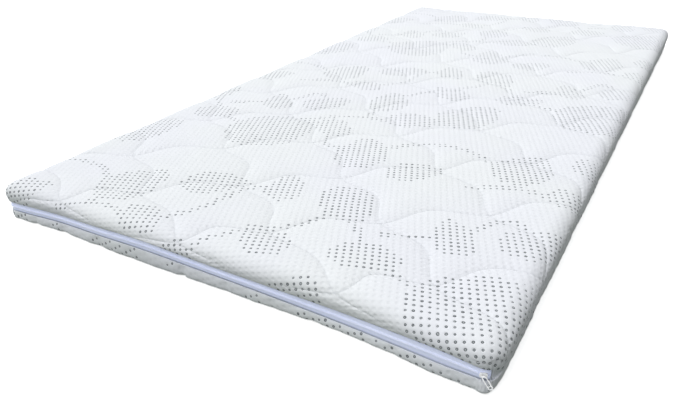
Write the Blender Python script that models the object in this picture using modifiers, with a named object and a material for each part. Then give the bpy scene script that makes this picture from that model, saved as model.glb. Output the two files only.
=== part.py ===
"""Mattress topper for a single bed: a quilted cover filled with foam, closed by a zip round two sides.

Units are metres. X is the width, Y the length and +Z up. The topper lies flat on z = 0 with the centre of its
base at the origin. The short end that carries the zip slider faces -Y, and the zip runs on round the front left
corner and along the side at -X. The other two sides are closed by a plain seam at the same height.

The cover is worked out as flat cloth first. A point of the cloth is its place on the top face, and cloth that
lies past the straight middle of the top is carried over the rolled edge, at the same distance from it.
"""

import math

import bmesh
import bpy
import numpy as np
from mathutils import Matrix, Vector
from mathutils.geometry import delaunay_2d_cdt

# Driving sizes of the topper
WIDTH = 1.000
LENGTH = 2.000
THICKNESS = 0.076

# The rolled top edge and the lower strip, as distances out from the straight middle of the top
ROLL_REACH = 0.030
ROLL_MIDDLE_Z = 0.052
ROLL_CLOTH = 0.056
UPPER_ROLL_SHARE = 0.757
STRIP_SECTION = (
    # share of the strip's height, reach, share of the pouch at the corner
    (0.70, 0.0275, 0.5),
    (0.24, 0.0271, 1.0),
    (0.06, 0.0245, 1.0),
    (0.00, 0.0215, 1.0),
)
CORNER_POUCH = 0.0040
CORNER_POUCH_DEG = 295.0
CORNER_POUCH_SPREAD_DEG = 28.0
MIDDLE_X = WIDTH / 2 - ROLL_REACH
MIDDLE_Y = LENGTH / 2 - ROLL_REACH

# The crown of the top face
CROWN = 0.0025
UNEVEN = 0.0006

# Quilting: two mirrored families of wavy sewn lines, which cross at the corners of each diamond
QUILT_CROSSING = (0.3715, -0.6615)
DIAMOND_HALF_WIDTH = 0.148
DIAMOND_HALF_HEIGHT = 0.1215
LINE_BOW = 0.033
QUILT_TILT = -0.014
QUILT_DEPTH = 0.0052
QUILT_SLOPE = 0.016
QUILT_RUN_OUT = 0.70
STRIP_QUILT_DEPTH = 0.0028
STEPS_PER_SIDE = 5

# The cloth is gathered where the zip holds the short end, so the last row of diamonds is shorter there
GATHER_START_Y = -0.900
GATHER_SCALE = 0.76
GATHER_SHIFT_X = 0.030
GATHER_LENGTH = 0.120

# The groove that the zip lies in, and the narrower one of the plain seam
SIDE_GROOVE_HALF = 0.0080
SEAM_GROOVE_HALF = 0.0026
ZIP_WALL_REACH = 0.0220
SEAM_WALL_REACH = 0.0245
ZIP_LIP_REACH = 0.0248
SEAM_LIP_REACH = 0.0268
LIP_RISE = 0.0010
ZIP_START_DEG = 310.0
ZIP_END_DEG = 140.0

# The short end isn't straight: the cover draws it in, and its zip rises and falls
FRONT_EDGE = (
    # x, drawn in, height of the middle of the zip, half height of the groove
    (-0.500, 0.0000, 0.0255, 0.0080),
    (-0.440, 0.0020, 0.0275, 0.0078),
    (-0.360, 0.0085, 0.0285, 0.0075),
    (-0.240, 0.0060, 0.0340, 0.0078),
    (-0.130, 0.0060, 0.0380, 0.0084),
    (0.000, 0.0100, 0.0330, 0.0075),
    (0.130, 0.0115, 0.0310, 0.0078),
    (0.260, 0.0150, 0.0262, 0.0092),
    (0.350, 0.0080, 0.0295, 0.0100),
    (0.430, 0.0005, 0.0325, 0.0102),
    (0.475, 0.0000, 0.0285, 0.0096),
    (0.500, 0.0000, 0.0265, 0.0092),
)
DRAW_IN_START_Y = -0.700
SIDE_ZIP_HEIGHT = 0.0255

# The zip itself
GAP = 0.00035
TAPE_THICKNESS = 0.0012
TAPE_MARGIN = 0.0006
TAPE_INNER = 0.0004
COIL_HALF = 0.0027
COIL_THICKNESS = 0.0022
COIL_ROUND = 0.0007
SLIDER_LENGTH = 0.0110
SLIDER_HEIGHT = 0.0088
SLIDER_THICKNESS = 0.0030
SLIDER_DEG = 288.0
SLIDER_ROUND = 0.0009
BRIDGE_RADIUS = 0.0021
BRIDGE_REACH = 0.0027
BRIDGE_WIRE = 0.0007
PULL_LENGTH = 0.0200
PULL_WIDTH = 0.0050
PULL_CORNER = 0.0016
PULL_WIRE = 0.0007
PULL_TILT_DEG = 22.0
PULL_LIFT_DEG = 14.0

# Mesh spacing
SIDE_STEPS = 48
LONG_SIDE_STEPS = 60
CORNER_STEPS = 5
ROLL_ROWS = 5
BASE_STEP = 0.125
MIN_SPACING = 0.0035
LINE_OVERRUN = 0.040
DIAMOND_STEPS = (0.12, 0.36, 0.64, 0.88)
DIAMOND_MARGIN = 0.011
BASE_GRID_SHARE = 0.95
NORMAL_STEP = 0.002

MATERIALS = {
    # name: colour, roughness, metallic
    "quilted_knit": ((0.86, 0.89, 0.91), 0.85, 0.0),
    "zip_tape": ((0.60, 0.63, 0.80), 0.75, 0.0),
    "zip_coil": ((0.70, 0.74, 0.90), 0.45, 0.0),
    "slider_metal": ((0.86, 0.87, 0.90), 0.35, 0.6),
}


# ---- The cloth, laid out flat -------------------------------------------------------------------------------


def turned(angle):
    """Matrix that turns plan points by an angle in radians."""
    return np.array([[math.cos(angle), -math.sin(angle)], [math.sin(angle), math.cos(angle)]])


SIDE_LENGTH = math.hypot(DIAMOND_HALF_WIDTH, DIAMOND_HALF_HEIGHT)
LATTICE = turned(QUILT_TILT) @ np.array(
    [[-DIAMOND_HALF_WIDTH, DIAMOND_HALF_WIDTH], [-DIAMOND_HALF_HEIGHT, -DIAMOND_HALF_HEIGHT]]
)
BOWS = turned(QUILT_TILT) @ (
    np.array([[-DIAMOND_HALF_HEIGHT, DIAMOND_HALF_HEIGHT], [DIAMOND_HALF_WIDTH, DIAMOND_HALF_WIDTH]]) / SIDE_LENGTH
)


def smooth_step(value):
    value = np.clip(value, 0.0, 1.0)
    return value * value * (3.0 - 2.0 * value)


def gathered(points):
    """Moves flat points to where the gathers at the short end leave them."""
    points = np.array(points, float)
    past = np.minimum(points[:, 1] - GATHER_START_Y, 0.0)
    points[:, 0] += GATHER_SHIFT_X * smooth_step(-past / GATHER_LENGTH)
    points[:, 1] += past * (GATHER_SCALE - 1.0)
    return points


def ungathered(points):
    points = np.array(points, float)
    past = np.minimum(points[:, 1] - GATHER_START_Y, 0.0) / GATHER_SCALE
    points[:, 0] -= GATHER_SHIFT_X * smooth_step(-past / GATHER_LENGTH)
    points[:, 1] += past - past * GATHER_SCALE
    return points


def cloth_of_lattice(lattice):
    """Cloth points of lattice numbers. A sewn line has a whole number as one of its two."""
    bow = LINE_BOW * (1.0 - np.cos(2.0 * math.pi * lattice)) / 2.0
    return gathered(np.array(QUILT_CROSSING) + lattice @ LATTICE.T + bow @ BOWS.T)


def lattice_of_cloth(points):
    """Lattice numbers of cloth points, found by stepping in on them."""
    flat = ungathered(points) - np.array(QUILT_CROSSING)
    inverse = np.linalg.inv(LATTICE)
    lattice = flat @ inverse.T
    for _ in range(60):
        bow = LINE_BOW * (1.0 - np.cos(2.0 * math.pi * lattice)) / 2.0
        lattice = (flat - bow @ BOWS.T) @ inverse.T
    return lattice


def quilt_fill(points):
    """How full the wadding is at cloth points: 0 on a sewn line, near 1 in the middle of a diamond."""
    lattice = lattice_of_cloth(points)
    away = np.abs(lattice - np.round(lattice)) * SIDE_LENGTH
    return np.prod(1.0 - np.exp(-away / QUILT_SLOPE), axis=1)


def past_middle(points):
    """Nearest point of the straight middle, the distance past it and the direction out, for cloth points."""
    nearest = np.clip(points, (-MIDDLE_X, -MIDDLE_Y), (MIDDLE_X, MIDDLE_Y))
    out = points - nearest
    distance = np.hypot(out[:, 0], out[:, 1])
    return nearest, distance, out / np.maximum(distance, 1e-9)[:, None]


# ---- The sides ----------------------------------------------------------------------------------------------


def zip_share(direction):
    """1 where the edge faces a side with the zip, 0 where it has the plain seam, and between at two corners."""
    degrees = np.degrees(np.arctan2(direction[:, 1], direction[:, 0])) % 360.0
    rising = smooth_step((degrees - 90.0) / (ZIP_END_DEG - 90.0))
    falling = smooth_step((360.0 - degrees) / (360.0 - ZIP_START_DEG))
    return np.minimum(rising, falling)


def mixed(plain, zipped, share):
    return plain + (zipped - plain) * share


def front_edge(x):
    """At places along the short end: how far it is drawn in, and its zip's height and groove's half height."""
    knots, *columns = np.array(FRONT_EDGE).T
    row = np.clip(np.searchsorted(knots, x) - 1, 0, len(knots) - 2)
    width = knots[row + 1] - knots[row]
    share = np.clip((x - knots[row]) / width, 0.0, 1.0)
    values = []
    for column in columns:
        slope = np.gradient(column, knots)
        bend = share * (1.0 - share) * ((1.0 - share) * slope[row] - share * slope[row + 1])
        values.append(mixed(column[row], column[row + 1], smooth_step(share)) + bend * width)
    return values


def zip_edge(nearest, direction):
    """Height of the middle of the zip, or of the seam, and half the height of its groove."""
    _, front_height, front_half = front_edge(nearest[:, 0] + ROLL_REACH * direction[:, 0])
    front = smooth_step(-direction[:, 1])
    height = mixed(SIDE_ZIP_HEIGHT, front_height, front)
    half = mixed(SEAM_GROOVE_HALF, mixed(SIDE_GROOVE_HALF, front_half, front), zip_share(direction))
    return height, half


def drawn_in(places):
    """Moves places to where the drawn-in short end leaves them."""
    places = np.array(places, float)
    depth, _, _ = front_edge(places[:, 0])
    places[:, 1] += depth * smooth_step((DRAW_IN_START_Y - places[:, 1]) / (DRAW_IN_START_Y + MIDDLE_Y))
    return places


def corner_pouch(direction):
    """Extra reach of the lower strip where it pouches out round the front right corner."""
    degrees = np.degrees(np.arctan2(direction[:, 1], direction[:, 0])) % 360.0
    return CORNER_POUCH * np.exp(-(((degrees - CORNER_POUCH_DEG) / CORNER_POUCH_SPREAD_DEG) ** 2))


def crown_height(nearest):
    x = nearest[:, 0] / MIDDLE_X
    y = nearest[:, 1] / MIDDLE_Y
    crown = CROWN * (1.0 - x**4) * (1.0 - y**4)
    wave = UNEVEN * (np.sin(7.0 * x + 2.0 * y) + np.sin(11.0 * y - 3.0 * x + 1.0) - 2.0)
    return THICKNESS - CROWN + crown + wave


def roll_section(share_of_cloth, nearest, direction):
    """Reach and height on the rolled edge, for a share of its cloth from the top (0) to the groove's lip (1)."""
    share = zip_share(direction)
    top = crown_height(nearest)
    lip_reach = mixed(SEAM_LIP_REACH, ZIP_LIP_REACH, share)
    zip_z, half = zip_edge(nearest, direction)
    lip_z = zip_z + half + LIP_RISE
    upper = np.clip(share_of_cloth / UPPER_ROLL_SHARE, 0.0, 1.0) * math.pi / 2
    lower = np.clip((share_of_cloth - UPPER_ROLL_SHARE) / (1.0 - UPPER_ROLL_SHARE), 0.0, 1.0) * math.pi / 2
    reach = ROLL_REACH * np.sin(upper) - (ROLL_REACH - lip_reach) * (1.0 - np.cos(lower))
    height = ROLL_MIDDLE_Z + (top - ROLL_MIDDLE_Z) * np.cos(upper) - (ROLL_MIDDLE_Z - lip_z) * np.sin(lower)
    return reach, height


def top_surface(points):
    """Places on the quilted top and its rolled edge, for cloth points."""
    nearest, distance, direction = past_middle(points)
    share = np.clip(distance / ROLL_CLOTH, 0.0, 1.0)
    reach, height = roll_section(share, nearest, direction)
    reach_next, height_next = roll_section(share + NORMAL_STEP, nearest, direction)
    run, drop = reach_next - reach, height - height_next
    size = np.maximum(np.hypot(run, drop), 1e-9)
    # the sewn channels run out where the roll turns in under itself, at the groove
    run_out = smooth_step((share - QUILT_RUN_OUT) / (1.0 - QUILT_RUN_OUT))
    sink = QUILT_DEPTH * (1.0 - quilt_fill(points)) * (1.0 - run_out)
    # on the flat middle the cloth sinks straight down, and on the roll it sinks square to it
    out_part = np.where(distance > 0.0, drop / size, 0.0)
    up_part = np.where(distance > 0.0, run / size, 1.0)
    plan = nearest + direction * (reach - sink * out_part)[:, None]
    return drawn_in(np.column_stack([plan, height - sink * up_part]))


def strip_rows(points):
    """Places of the rows below the rolled edge: the groove's wall, then the lower strip, then its foot."""
    nearest, _, direction = past_middle(points)
    share = zip_share(direction)
    middle, half = zip_edge(nearest, direction)
    wall = mixed(SEAM_WALL_REACH, ZIP_WALL_REACH, share)
    lip = mixed(SEAM_LIP_REACH, ZIP_LIP_REACH, share)
    top = middle - half - LIP_RISE
    sink = STRIP_QUILT_DEPTH * (1.0 - quilt_fill(points))
    pouch = corner_pouch(direction)
    rows = [(wall, middle + half), (wall, middle - half), (lip, top)]
    rows += [(reach + pouch * pouched - sink, top * height) for height, reach, pouched in STRIP_SECTION]
    return [drawn_in(np.column_stack([nearest + direction * reach[:, None], height])) for reach, height in rows]


# ---- Mesh of the filled cover -------------------------------------------------------------------------------


def ring(distance):
    """Closed outline of the cloth at a distance past the straight middle, anticlockwise from the front left."""
    corners = ((-1, -1, 180.0), (1, -1, 270.0), (1, 1, 0.0), (-1, 1, 90.0))
    points = []
    for index, (side_x, side_y, start) in enumerate(corners):
        centre = np.array([side_x * MIDDLE_X, side_y * MIDDLE_Y])
        arc_steps = CORNER_STEPS if distance > 0.0 else 0
        for step in range(arc_steps + 1):
            angle = math.radians(start + 90.0 * step / max(arc_steps, 1))
            points.append(centre + distance * np.array([math.cos(angle), math.sin(angle)]))
        next_x, next_y, _ = corners[(index + 1) % 4]
        steps = SIDE_STEPS if next_y == side_y else LONG_SIDE_STEPS
        leave = points[-1]
        travel = np.array([next_x - side_x, next_y - side_y]) * (MIDDLE_X, MIDDLE_Y)
        points += [leave + travel * step / steps for step in range(1, steps + (distance == 0.0))]
        if distance == 0.0:
            points.pop()
    return points


def sewn_lines():
    """The sewn lines, as runs of cloth points that cover the whole topper and a little beyond."""
    reach = int(math.ceil(LENGTH / DIAMOND_HALF_HEIGHT)) + 4
    along = np.arange(-reach * STEPS_PER_SIDE, reach * STEPS_PER_SIDE + 1) / STEPS_PER_SIDE
    runs = []
    for number in range(-reach, reach + 1):
        fixed = np.full(len(along), float(number))
        runs.append(cloth_of_lattice(np.column_stack([along, fixed])))
        runs.append(cloth_of_lattice(np.column_stack([fixed, along])))
    return runs


def diamond_points():
    """Points inside the diamonds of the flat middle, closer together beside the sewn lines."""
    reach = int(math.ceil(LENGTH / DIAMOND_HALF_HEIGHT)) + 4
    places = [number + share for number in range(-reach, reach) for share in DIAMOND_STEPS]
    lattice = np.array([(p, q) for p in places for q in places])
    points = cloth_of_lattice(lattice)
    return points[np.all(np.abs(points) < (MIDDLE_X - DIAMOND_MARGIN, MIDDLE_Y - DIAMOND_MARGIN), axis=1)]


def cloth_net():
    """Triangle net of the flat cloth, with edges along the sewn lines and along the roll."""
    points, edges = [], []

    def add_run(run, closed=False):
        first = len(points)
        points.extend(Vector(point) for point in run)
        edges.extend((first + i, first + i + 1) for i in range(len(run) - 1))
        if closed:
            edges.append((len(points) - 1, first))

    distances = [ROLL_CLOTH * (1.0 - row / ROLL_ROWS) for row in range(ROLL_ROWS + 1)]
    outline = ring(distances[0])
    add_run(outline, closed=True)
    for distance in distances[1:]:
        add_run(ring(distance), closed=True)
    for run in sewn_lines():
        _, distance, _ = past_middle(run)
        inside = np.min(np.array([MIDDLE_X, MIDDLE_Y]) - np.abs(run), axis=1)
        nearest_ring = np.min(np.abs(distance[:, None] - np.array(distances)), axis=1)
        clear = np.where(inside > 0.0, inside, nearest_ring)
        # the lines run on past the outline, and keep no point that would crowd a ring
        kept = np.flatnonzero((distance < ROLL_CLOTH + LINE_OVERRUN) & (clear > MIN_SPACING))
        for stretch in np.split(kept, np.flatnonzero(np.diff(kept) > 2) + 1):
            if len(stretch) > 1:
                add_run(run[stretch])
    points.extend(Vector(point) for point in diamond_points())
    faces = [list(range(len(outline)))]
    net, _, triangles, _, _, _ = delaunay_2d_cdt(points, edges, faces, 1, 1e-4)
    return np.array([tuple(point) for point in net]), triangles


def loop_in_order(edges):
    """Vertices of one closed run of edges, in order."""
    neighbours = {}
    for edge in edges:
        a, b = edge.verts
        neighbours.setdefault(a, []).append(b)
        neighbours.setdefault(b, []).append(a)
    start = edges[0].verts[0]
    order, before, here = [start], None, start
    while True:
        ahead = next(vert for vert in neighbours[here] if vert is not before)
        if ahead is start:
            return order
        order.append(ahead)
        before, here = here, ahead


def close_base(bm, loop):
    """Fills the base with a flat net, from the loop of the strip's foot."""
    count_x = round(2 * MIDDLE_X / BASE_STEP)
    count_y = round(2 * MIDDLE_Y / BASE_STEP)
    grid = [
        BASE_GRID_SHARE * Vector((MIDDLE_X * (2 * i / count_x - 1), MIDDLE_Y * (2 * j / count_y - 1)))
        for i in range(count_x + 1)
        for j in range(count_y + 1)
    ]
    flat = [Vector(vert.co[:2]) for vert in loop] + grid
    net, _, triangles, origins, _, _ = delaunay_2d_cdt(flat, [], [list(range(len(loop)))], 1, 1e-6)
    verts = []
    for point, origin in zip(net, origins):
        known = [index for index in origin if index < len(loop)]
        verts.append(loop[known[0]] if known else bm.verts.new((point.x, point.y, 0.0)))
    for triangle in triangles:
        bm.faces.new([verts[index] for index in triangle])


def filled_cover(collection):
    """The whole quilted cover with its filling, as one closed solid."""
    net, triangles = cloth_net()
    bm = bmesh.new()
    cloth_x = bm.verts.layers.float.new("cloth_x")
    cloth_y = bm.verts.layers.float.new("cloth_y")
    verts = [bm.verts.new((x, y, 0.0)) for x, y in net]
    for triangle in triangles:
        bm.faces.new([verts[index] for index in triangle])
    bmesh.ops.delete(bm, geom=[vert for vert in bm.verts if not vert.link_faces], context="VERTS")
    bmesh.ops.dissolve_degenerate(bm, edges=bm.edges, dist=1e-5)

    # the outline runs exactly at the end of the rolled cloth
    rim = loop_in_order([edge for edge in bm.edges if edge.is_boundary])
    nearest, _, direction = past_middle(np.array([vert.co[:2] for vert in rim]))
    for vert, place in zip(rim, nearest + direction * ROLL_CLOTH):
        vert.co = (*place, 0.0)
    for vert in bm.verts:
        vert[cloth_x], vert[cloth_y] = vert.co.x, vert.co.y
    rim_cloth = np.array([(vert[cloth_x], vert[cloth_y]) for vert in rim])
    for vert, place in zip(list(bm.verts), top_surface(np.array([vert.co[:2] for vert in bm.verts]))):
        vert.co = place

    rim_edges = [edge for edge in bm.edges if edge.is_boundary]
    for row in strip_rows(rim_cloth):
        made = bmesh.ops.extrude_edge_only(bm, edges=rim_edges)["geom"]
        rim_edges = [item for item in made if isinstance(item, bmesh.types.BMEdge) and item.is_boundary]
        places = {tuple(cloth): place for cloth, place in zip(rim_cloth.tolist(), row)}
        for vert in {vert for edge in rim_edges for vert in edge.verts}:
            vert.co = places[(vert[cloth_x], vert[cloth_y])]
    close_base(bm, loop_in_order(rim_edges))
    bmesh.ops.triangulate(bm, faces=bm.faces, quad_method="BEAUTY")
    bmesh.ops.recalc_face_normals(bm, faces=bm.faces)
    return mesh_object("filled_cover", bm, "quilted_knit", collection)


# ---- The zip ------------------------------------------------------------------------------------------------


def zip_path(start_degrees):
    """Nearest middle points and directions along the zip: front right corner, short end, left side, back."""
    front_right = np.array([MIDDLE_X, -MIDDLE_Y])
    front_left = np.array([-MIDDLE_X, -MIDDLE_Y])
    back_left = np.array([-MIDDLE_X, MIDDLE_Y])
    legs = (
        # from, to, direction from, direction to, steps
        (front_right, front_right, start_degrees, 270.0, 4),
        (front_right, front_left, 270.0, 270.0, SIDE_STEPS),
        (front_left, front_left, 270.0, 180.0, 6),
        (front_left, back_left, 180.0, 180.0, 30),
        (back_left, back_left, 180.0, ZIP_END_DEG, 3),
    )
    nearest, degrees = [front_right], [start_degrees]
    for begin, end, turn_from, turn_to, steps in legs:
        for share in np.arange(1, steps + 1) / steps:
            nearest.append(begin + (end - begin) * share)
            degrees.append(turn_from + (turn_to - turn_from) * share)
    angles = np.radians(degrees)
    return np.array(nearest), np.column_stack([np.cos(angles), np.sin(angles)])


def band(name, low, high, reach, thickness, material, collection, start_degrees=ZIP_START_DEG, round_edge=0.0):
    """A band that follows the zip, thickened outward.

    Its low and high edges are heights beside the middle of the zip, each as a share of the groove's half height
    and a length to add.
    """
    nearest, direction = zip_path(start_degrees)
    middle, half = zip_edge(nearest, direction)
    places = drawn_in(np.column_stack([nearest + direction * reach, middle + half * low[0] + low[1]]))
    bm = bmesh.new()
    verts = [bm.verts.new(place) for place in places]
    tops = {tuple(vert.co.xy): top for vert, top in zip(verts, middle + half * high[0] + high[1])}
    edges = [bm.edges.new(pair) for pair in zip(verts, verts[1:])]
    for item in bmesh.ops.extrude_edge_only(bm, edges=edges)["geom"]:
        if isinstance(item, bmesh.types.BMVert):
            item.co.z = tops[tuple(item.co.xy)]
    bm.normal_update()
    # the topper's middle is at the origin, so a face that looks back to it is turned round
    inward = [face for face in bm.faces if face.normal.dot(face.calc_center_median()) < 0.0]
    bmesh.ops.reverse_faces(bm, faces=inward)
    obj = mesh_object(name, bm, material, collection)
    solid = obj.modifiers.new("thickness", "SOLIDIFY")
    solid.thickness = thickness
    solid.offset = 1.0
    solid.use_even_offset = True
    if round_edge:
        bevel = obj.modifiers.new("round_edge", "BEVEL")
        bevel.width = round_edge
        bevel.segments = 1
        bevel.limit_method = "ANGLE"
        bevel.angle_limit = math.radians(60.0)
    return obj


def on_zip(degrees, reach):
    """Frame on the front right corner: X along the zip, Y outward, Z up, at a reach from the corner's centre."""
    angle = math.radians(degrees)
    direction = np.array([[math.cos(angle), math.sin(angle)]])
    nearest = np.array([[MIDDLE_X, -MIDDLE_Y]])
    height, _ = zip_edge(nearest, direction)
    place = drawn_in(np.column_stack([nearest + direction * reach, height]))[0]
    return Matrix.Translation(place) @ Matrix.Rotation(angle - math.pi / 2, 4, "Z")


def zip_slider(collection):
    """Slider body with a small bridge that holds the pull."""
    back = ZIP_WALL_REACH + GAP + TAPE_THICKNESS + GAP
    frame = on_zip(SLIDER_DEG, back + SLIDER_THICKNESS / 2)
    bm = bmesh.new()
    bmesh.ops.create_cube(bm, size=1.0)
    bmesh.ops.scale(bm, verts=bm.verts, vec=(SLIDER_LENGTH, SLIDER_THICKNESS, SLIDER_HEIGHT))
    bmesh.ops.bevel(bm, geom=bm.edges[:], offset=SLIDER_ROUND, segments=2, affect="EDGES")
    body = mesh_object("zip_slider", bm, "slider_metal", collection)
    body.matrix_world = frame
    outline = ring_points(BRIDGE_RADIUS, BRIDGE_REACH, BRIDGE_RADIUS)
    bridge = tube_loop("slider_bridge", outline, BRIDGE_WIRE, "slider_metal")
    turn = Matrix.Rotation(math.pi / 2, 4, "Y")
    bridge.matrix_world = frame @ Matrix.Translation((0.0, SLIDER_THICKNESS / 2, 0.0)) @ turn
    joined = body.modifiers.new("bridge", "BOOLEAN")
    joined.operation = "UNION"
    joined.object = bridge
    return body, frame


def ring_points(half_x, half_y, corner, steps=4):
    """Closed rounded outline in the XY plane."""
    points = []
    for side_x, side_y, start in ((1, 1, 0.0), (-1, 1, 90.0), (-1, -1, 180.0), (1, -1, 270.0)):
        for step in range(steps):
            angle = math.radians(start + 90.0 * step / steps + 45.0 / steps)
            points.append(
                (
                    side_x * (half_x - corner) + corner * math.cos(angle),
                    side_y * (half_y - corner) + corner * math.sin(angle),
                    0.0,
                )
            )
    return points


def tube_loop(name, points, radius, material, collection=None):
    """Closed wire loop, as a mesh."""
    curve = bpy.data.curves.new(name, "CURVE")
    curve.dimensions = "3D"
    curve.bevel_depth = radius
    curve.bevel_resolution = 2
    spline = curve.splines.new("POLY")
    spline.points.add(len(points) - 1)
    for point, place in zip(spline.points, points):
        point.co = (*place, 1.0)
    spline.use_cyclic_u = True
    source = bpy.data.objects.new(name + "_curve", curve)
    bpy.context.scene.collection.objects.link(source)
    graph = bpy.context.evaluated_depsgraph_get()
    mesh = bpy.data.meshes.new_from_object(source.evaluated_get(graph))
    bpy.data.objects.remove(source)
    bm = bmesh.new()
    bm.from_mesh(mesh)
    bmesh.ops.remove_doubles(bm, verts=bm.verts, dist=1e-5)
    bmesh.ops.recalc_face_normals(bm, faces=bm.faces)
    obj = mesh_object(name, bm, material, collection or cutters())
    if collection is None:
        obj.hide_render = True
        obj.display_type = "WIRE"
    return obj


def zip_pull(frame, collection):
    """Open two-rail frame that hangs from the slider's bridge, against the lower strip."""
    outline = ring_points(PULL_WIDTH / 2, PULL_LENGTH / 2, PULL_CORNER, steps=3)
    obj = tube_loop("zip_pull", outline, PULL_WIRE, "slider_metal", collection)
    hang = Matrix.Rotation(math.pi / 2, 4, "X")
    swing = Matrix.Rotation(math.radians(PULL_TILT_DEG), 4, "Y")
    # the lower strip bulges, so the pull that lies on it stands out a little at its free end
    lift = Matrix.Rotation(math.radians(PULL_LIFT_DEG), 4, "X")
    # the top rail passes through the bridge, just clear of the slider's face
    out = SLIDER_THICKNESS / 2 + PULL_WIRE + GAP
    down = Matrix.Translation((0.0, 0.0, -PULL_LENGTH / 2))
    obj.matrix_world = frame @ Matrix.Translation((0.0, out, 0.0)) @ lift @ swing @ down @ hang
    return obj


# ---- Scene --------------------------------------------------------------------------------------------------


def clear_scene():
    for obj in list(bpy.data.objects):
        bpy.data.objects.remove(obj)


def new_collection(name):
    collection = bpy.data.collections.new(name)
    bpy.context.scene.collection.children.link(collection)
    return collection


def cutters():
    return bpy.data.collections.get("joining_shapes") or new_collection("joining_shapes")


def finish(name):
    """The named material, made once."""
    material = bpy.data.materials.get(name)
    if material is None:
        colour, roughness, metallic = MATERIALS[name]
        material = bpy.data.materials.new(name)
        material.use_nodes = True
        shader = material.node_tree.nodes["Principled BSDF"]
        shader.inputs["Base Color"].default_value = (*colour, 1.0)
        shader.inputs["Roughness"].default_value = roughness
        shader.inputs["Metallic"].default_value = metallic
        material.diffuse_color = (*colour, 1.0)
    return material


def mesh_object(name, bm, material, collection):
    mesh = bpy.data.meshes.new(name)
    bm.to_mesh(mesh)
    bm.free()
    mesh.materials.append(finish(material))
    mesh.shade_smooth()
    mesh.set_sharp_from_angle(angle=math.radians(40.0))
    obj = bpy.data.objects.new(name, mesh)
    collection.objects.link(obj)
    return obj


def build():
    clear_scene()
    topper = new_collection("mattress_topper")
    filled_cover(topper)
    tape_reach = ZIP_WALL_REACH + GAP
    inner, outer = (0.0, TAPE_INNER), (1.0, -TAPE_MARGIN)
    band("zip_tape_upper", inner, outer, tape_reach, TAPE_THICKNESS, "zip_tape", topper)
    inner, outer = (0.0, -TAPE_INNER), (-1.0, TAPE_MARGIN)
    band("zip_tape_lower", outer, inner, tape_reach, TAPE_THICKNESS, "zip_tape", topper)
    coil_reach = tape_reach + TAPE_THICKNESS + GAP
    slider_half_deg = math.degrees((SLIDER_LENGTH / 2 + GAP) / coil_reach)
    band(
        "zip_coil",
        (0.0, -COIL_HALF),
        (0.0, COIL_HALF),
        coil_reach,
        COIL_THICKNESS,
        "zip_coil",
        topper,
        start_degrees=SLIDER_DEG - slider_half_deg,
        round_edge=COIL_ROUND,
    )
    _, frame = zip_slider(topper)
    zip_pull(frame, topper)


build()
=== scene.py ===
"""The finished mattress topper, dressed over its solids.

Units are metres, with +Z up. The topper lies flat on the floor with the centre of its base at the origin.
The short end with the zip slider faces -Y, and the zip runs on round the front left corner and along the
side at -X.

The cover is worked out as flat cloth first. A point of the cloth is its place on the top face, and cloth
that lies past the straight middle of the top is carried over the rolled edge, at the same distance from it.
The sewn lines, the knitted dots and the weave are all laid out on that flat cloth.
"""

import logging
import math
from dataclasses import dataclass, field
from enum import Enum

import bmesh
import bpy
import numpy as np
from mathutils import Matrix, Vector
from mathutils.bvhtree import BVHTree
from mathutils.geometry import delaunay_2d_cdt


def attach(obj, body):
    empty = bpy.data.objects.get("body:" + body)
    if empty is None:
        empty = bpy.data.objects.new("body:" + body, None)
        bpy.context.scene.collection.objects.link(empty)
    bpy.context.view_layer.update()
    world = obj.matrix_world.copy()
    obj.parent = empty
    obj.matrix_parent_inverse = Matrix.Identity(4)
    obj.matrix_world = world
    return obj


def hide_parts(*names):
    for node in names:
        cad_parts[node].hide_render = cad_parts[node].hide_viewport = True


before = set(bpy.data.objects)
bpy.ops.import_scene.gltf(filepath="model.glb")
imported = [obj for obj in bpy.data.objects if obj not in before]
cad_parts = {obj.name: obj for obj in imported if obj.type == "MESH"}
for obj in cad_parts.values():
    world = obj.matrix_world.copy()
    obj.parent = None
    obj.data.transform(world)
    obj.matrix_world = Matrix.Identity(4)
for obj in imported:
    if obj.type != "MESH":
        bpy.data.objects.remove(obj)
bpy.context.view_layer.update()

BODY = "root"
LOG = logging.getLogger("mattress_topper")
FULL_TURN = 2.0 * math.pi
QUARTERS = ((1.0, 0.0), (0.0, 1.0), (-1.0, 0.0), (0.0, -1.0))

Points = np.ndarray
Pair = tuple[float, float]
Triple = tuple[float, float, float]


# ---- Small tools ---------------------------------------------------------------------------------------


def smooth_step(value: Points) -> Points:
    """Soft step from 0 to 1 as value goes from 0 to 1."""
    value = np.clip(value, 0.0, 1.0)
    return value * value * (3.0 - 2.0 * value)


def mixed(plain: Points, other: Points, share: Points) -> Points:
    """Straight blend from plain to other."""
    return plain + (other - plain) * share


def unit(vectors: Points) -> Points:
    """Vectors at length 1."""
    return vectors / np.maximum(np.linalg.norm(vectors, axis=-1, keepdims=True), 1e-12)


def turned(angle: float) -> Points:
    """Matrix that turns plan points by an angle in radians."""
    return np.array([[math.cos(angle), -math.sin(angle)], [math.sin(angle), math.cos(angle)]])


def degrees_of(direction: Points) -> Points:
    """Angle of plan directions, from 0 to 360."""
    return np.degrees(np.arctan2(direction[:, 1], direction[:, 0])) % 360.0


def curve_through(knots: Points, steps: int) -> Points:
    """Rows on a smooth curve through knots, which may be arrays of any shape.

    Args:
        knots: the knots, one for each row.
        steps: how many steps lie between two knots.

    Returns:
        The rows, from the first knot to the last.
    """
    padded = np.concatenate([2.0 * knots[:1] - knots[1:2], knots, 2.0 * knots[-1:] - knots[-2:-1]])
    rows = [knots[0]]
    for before, start, end, after in zip(padded, padded[1:], padded[2:], padded[3:]):
        for share in np.arange(1, steps + 1) / steps:
            first = (end - before) * share
            second = (2.0 * before - 5.0 * start + 4.0 * end - after) * share**2
            third = (3.0 * start - before - 3.0 * end + after) * share**3
            rows.append(start + (first + second + third) / 2.0)
    return np.array(rows)


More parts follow.
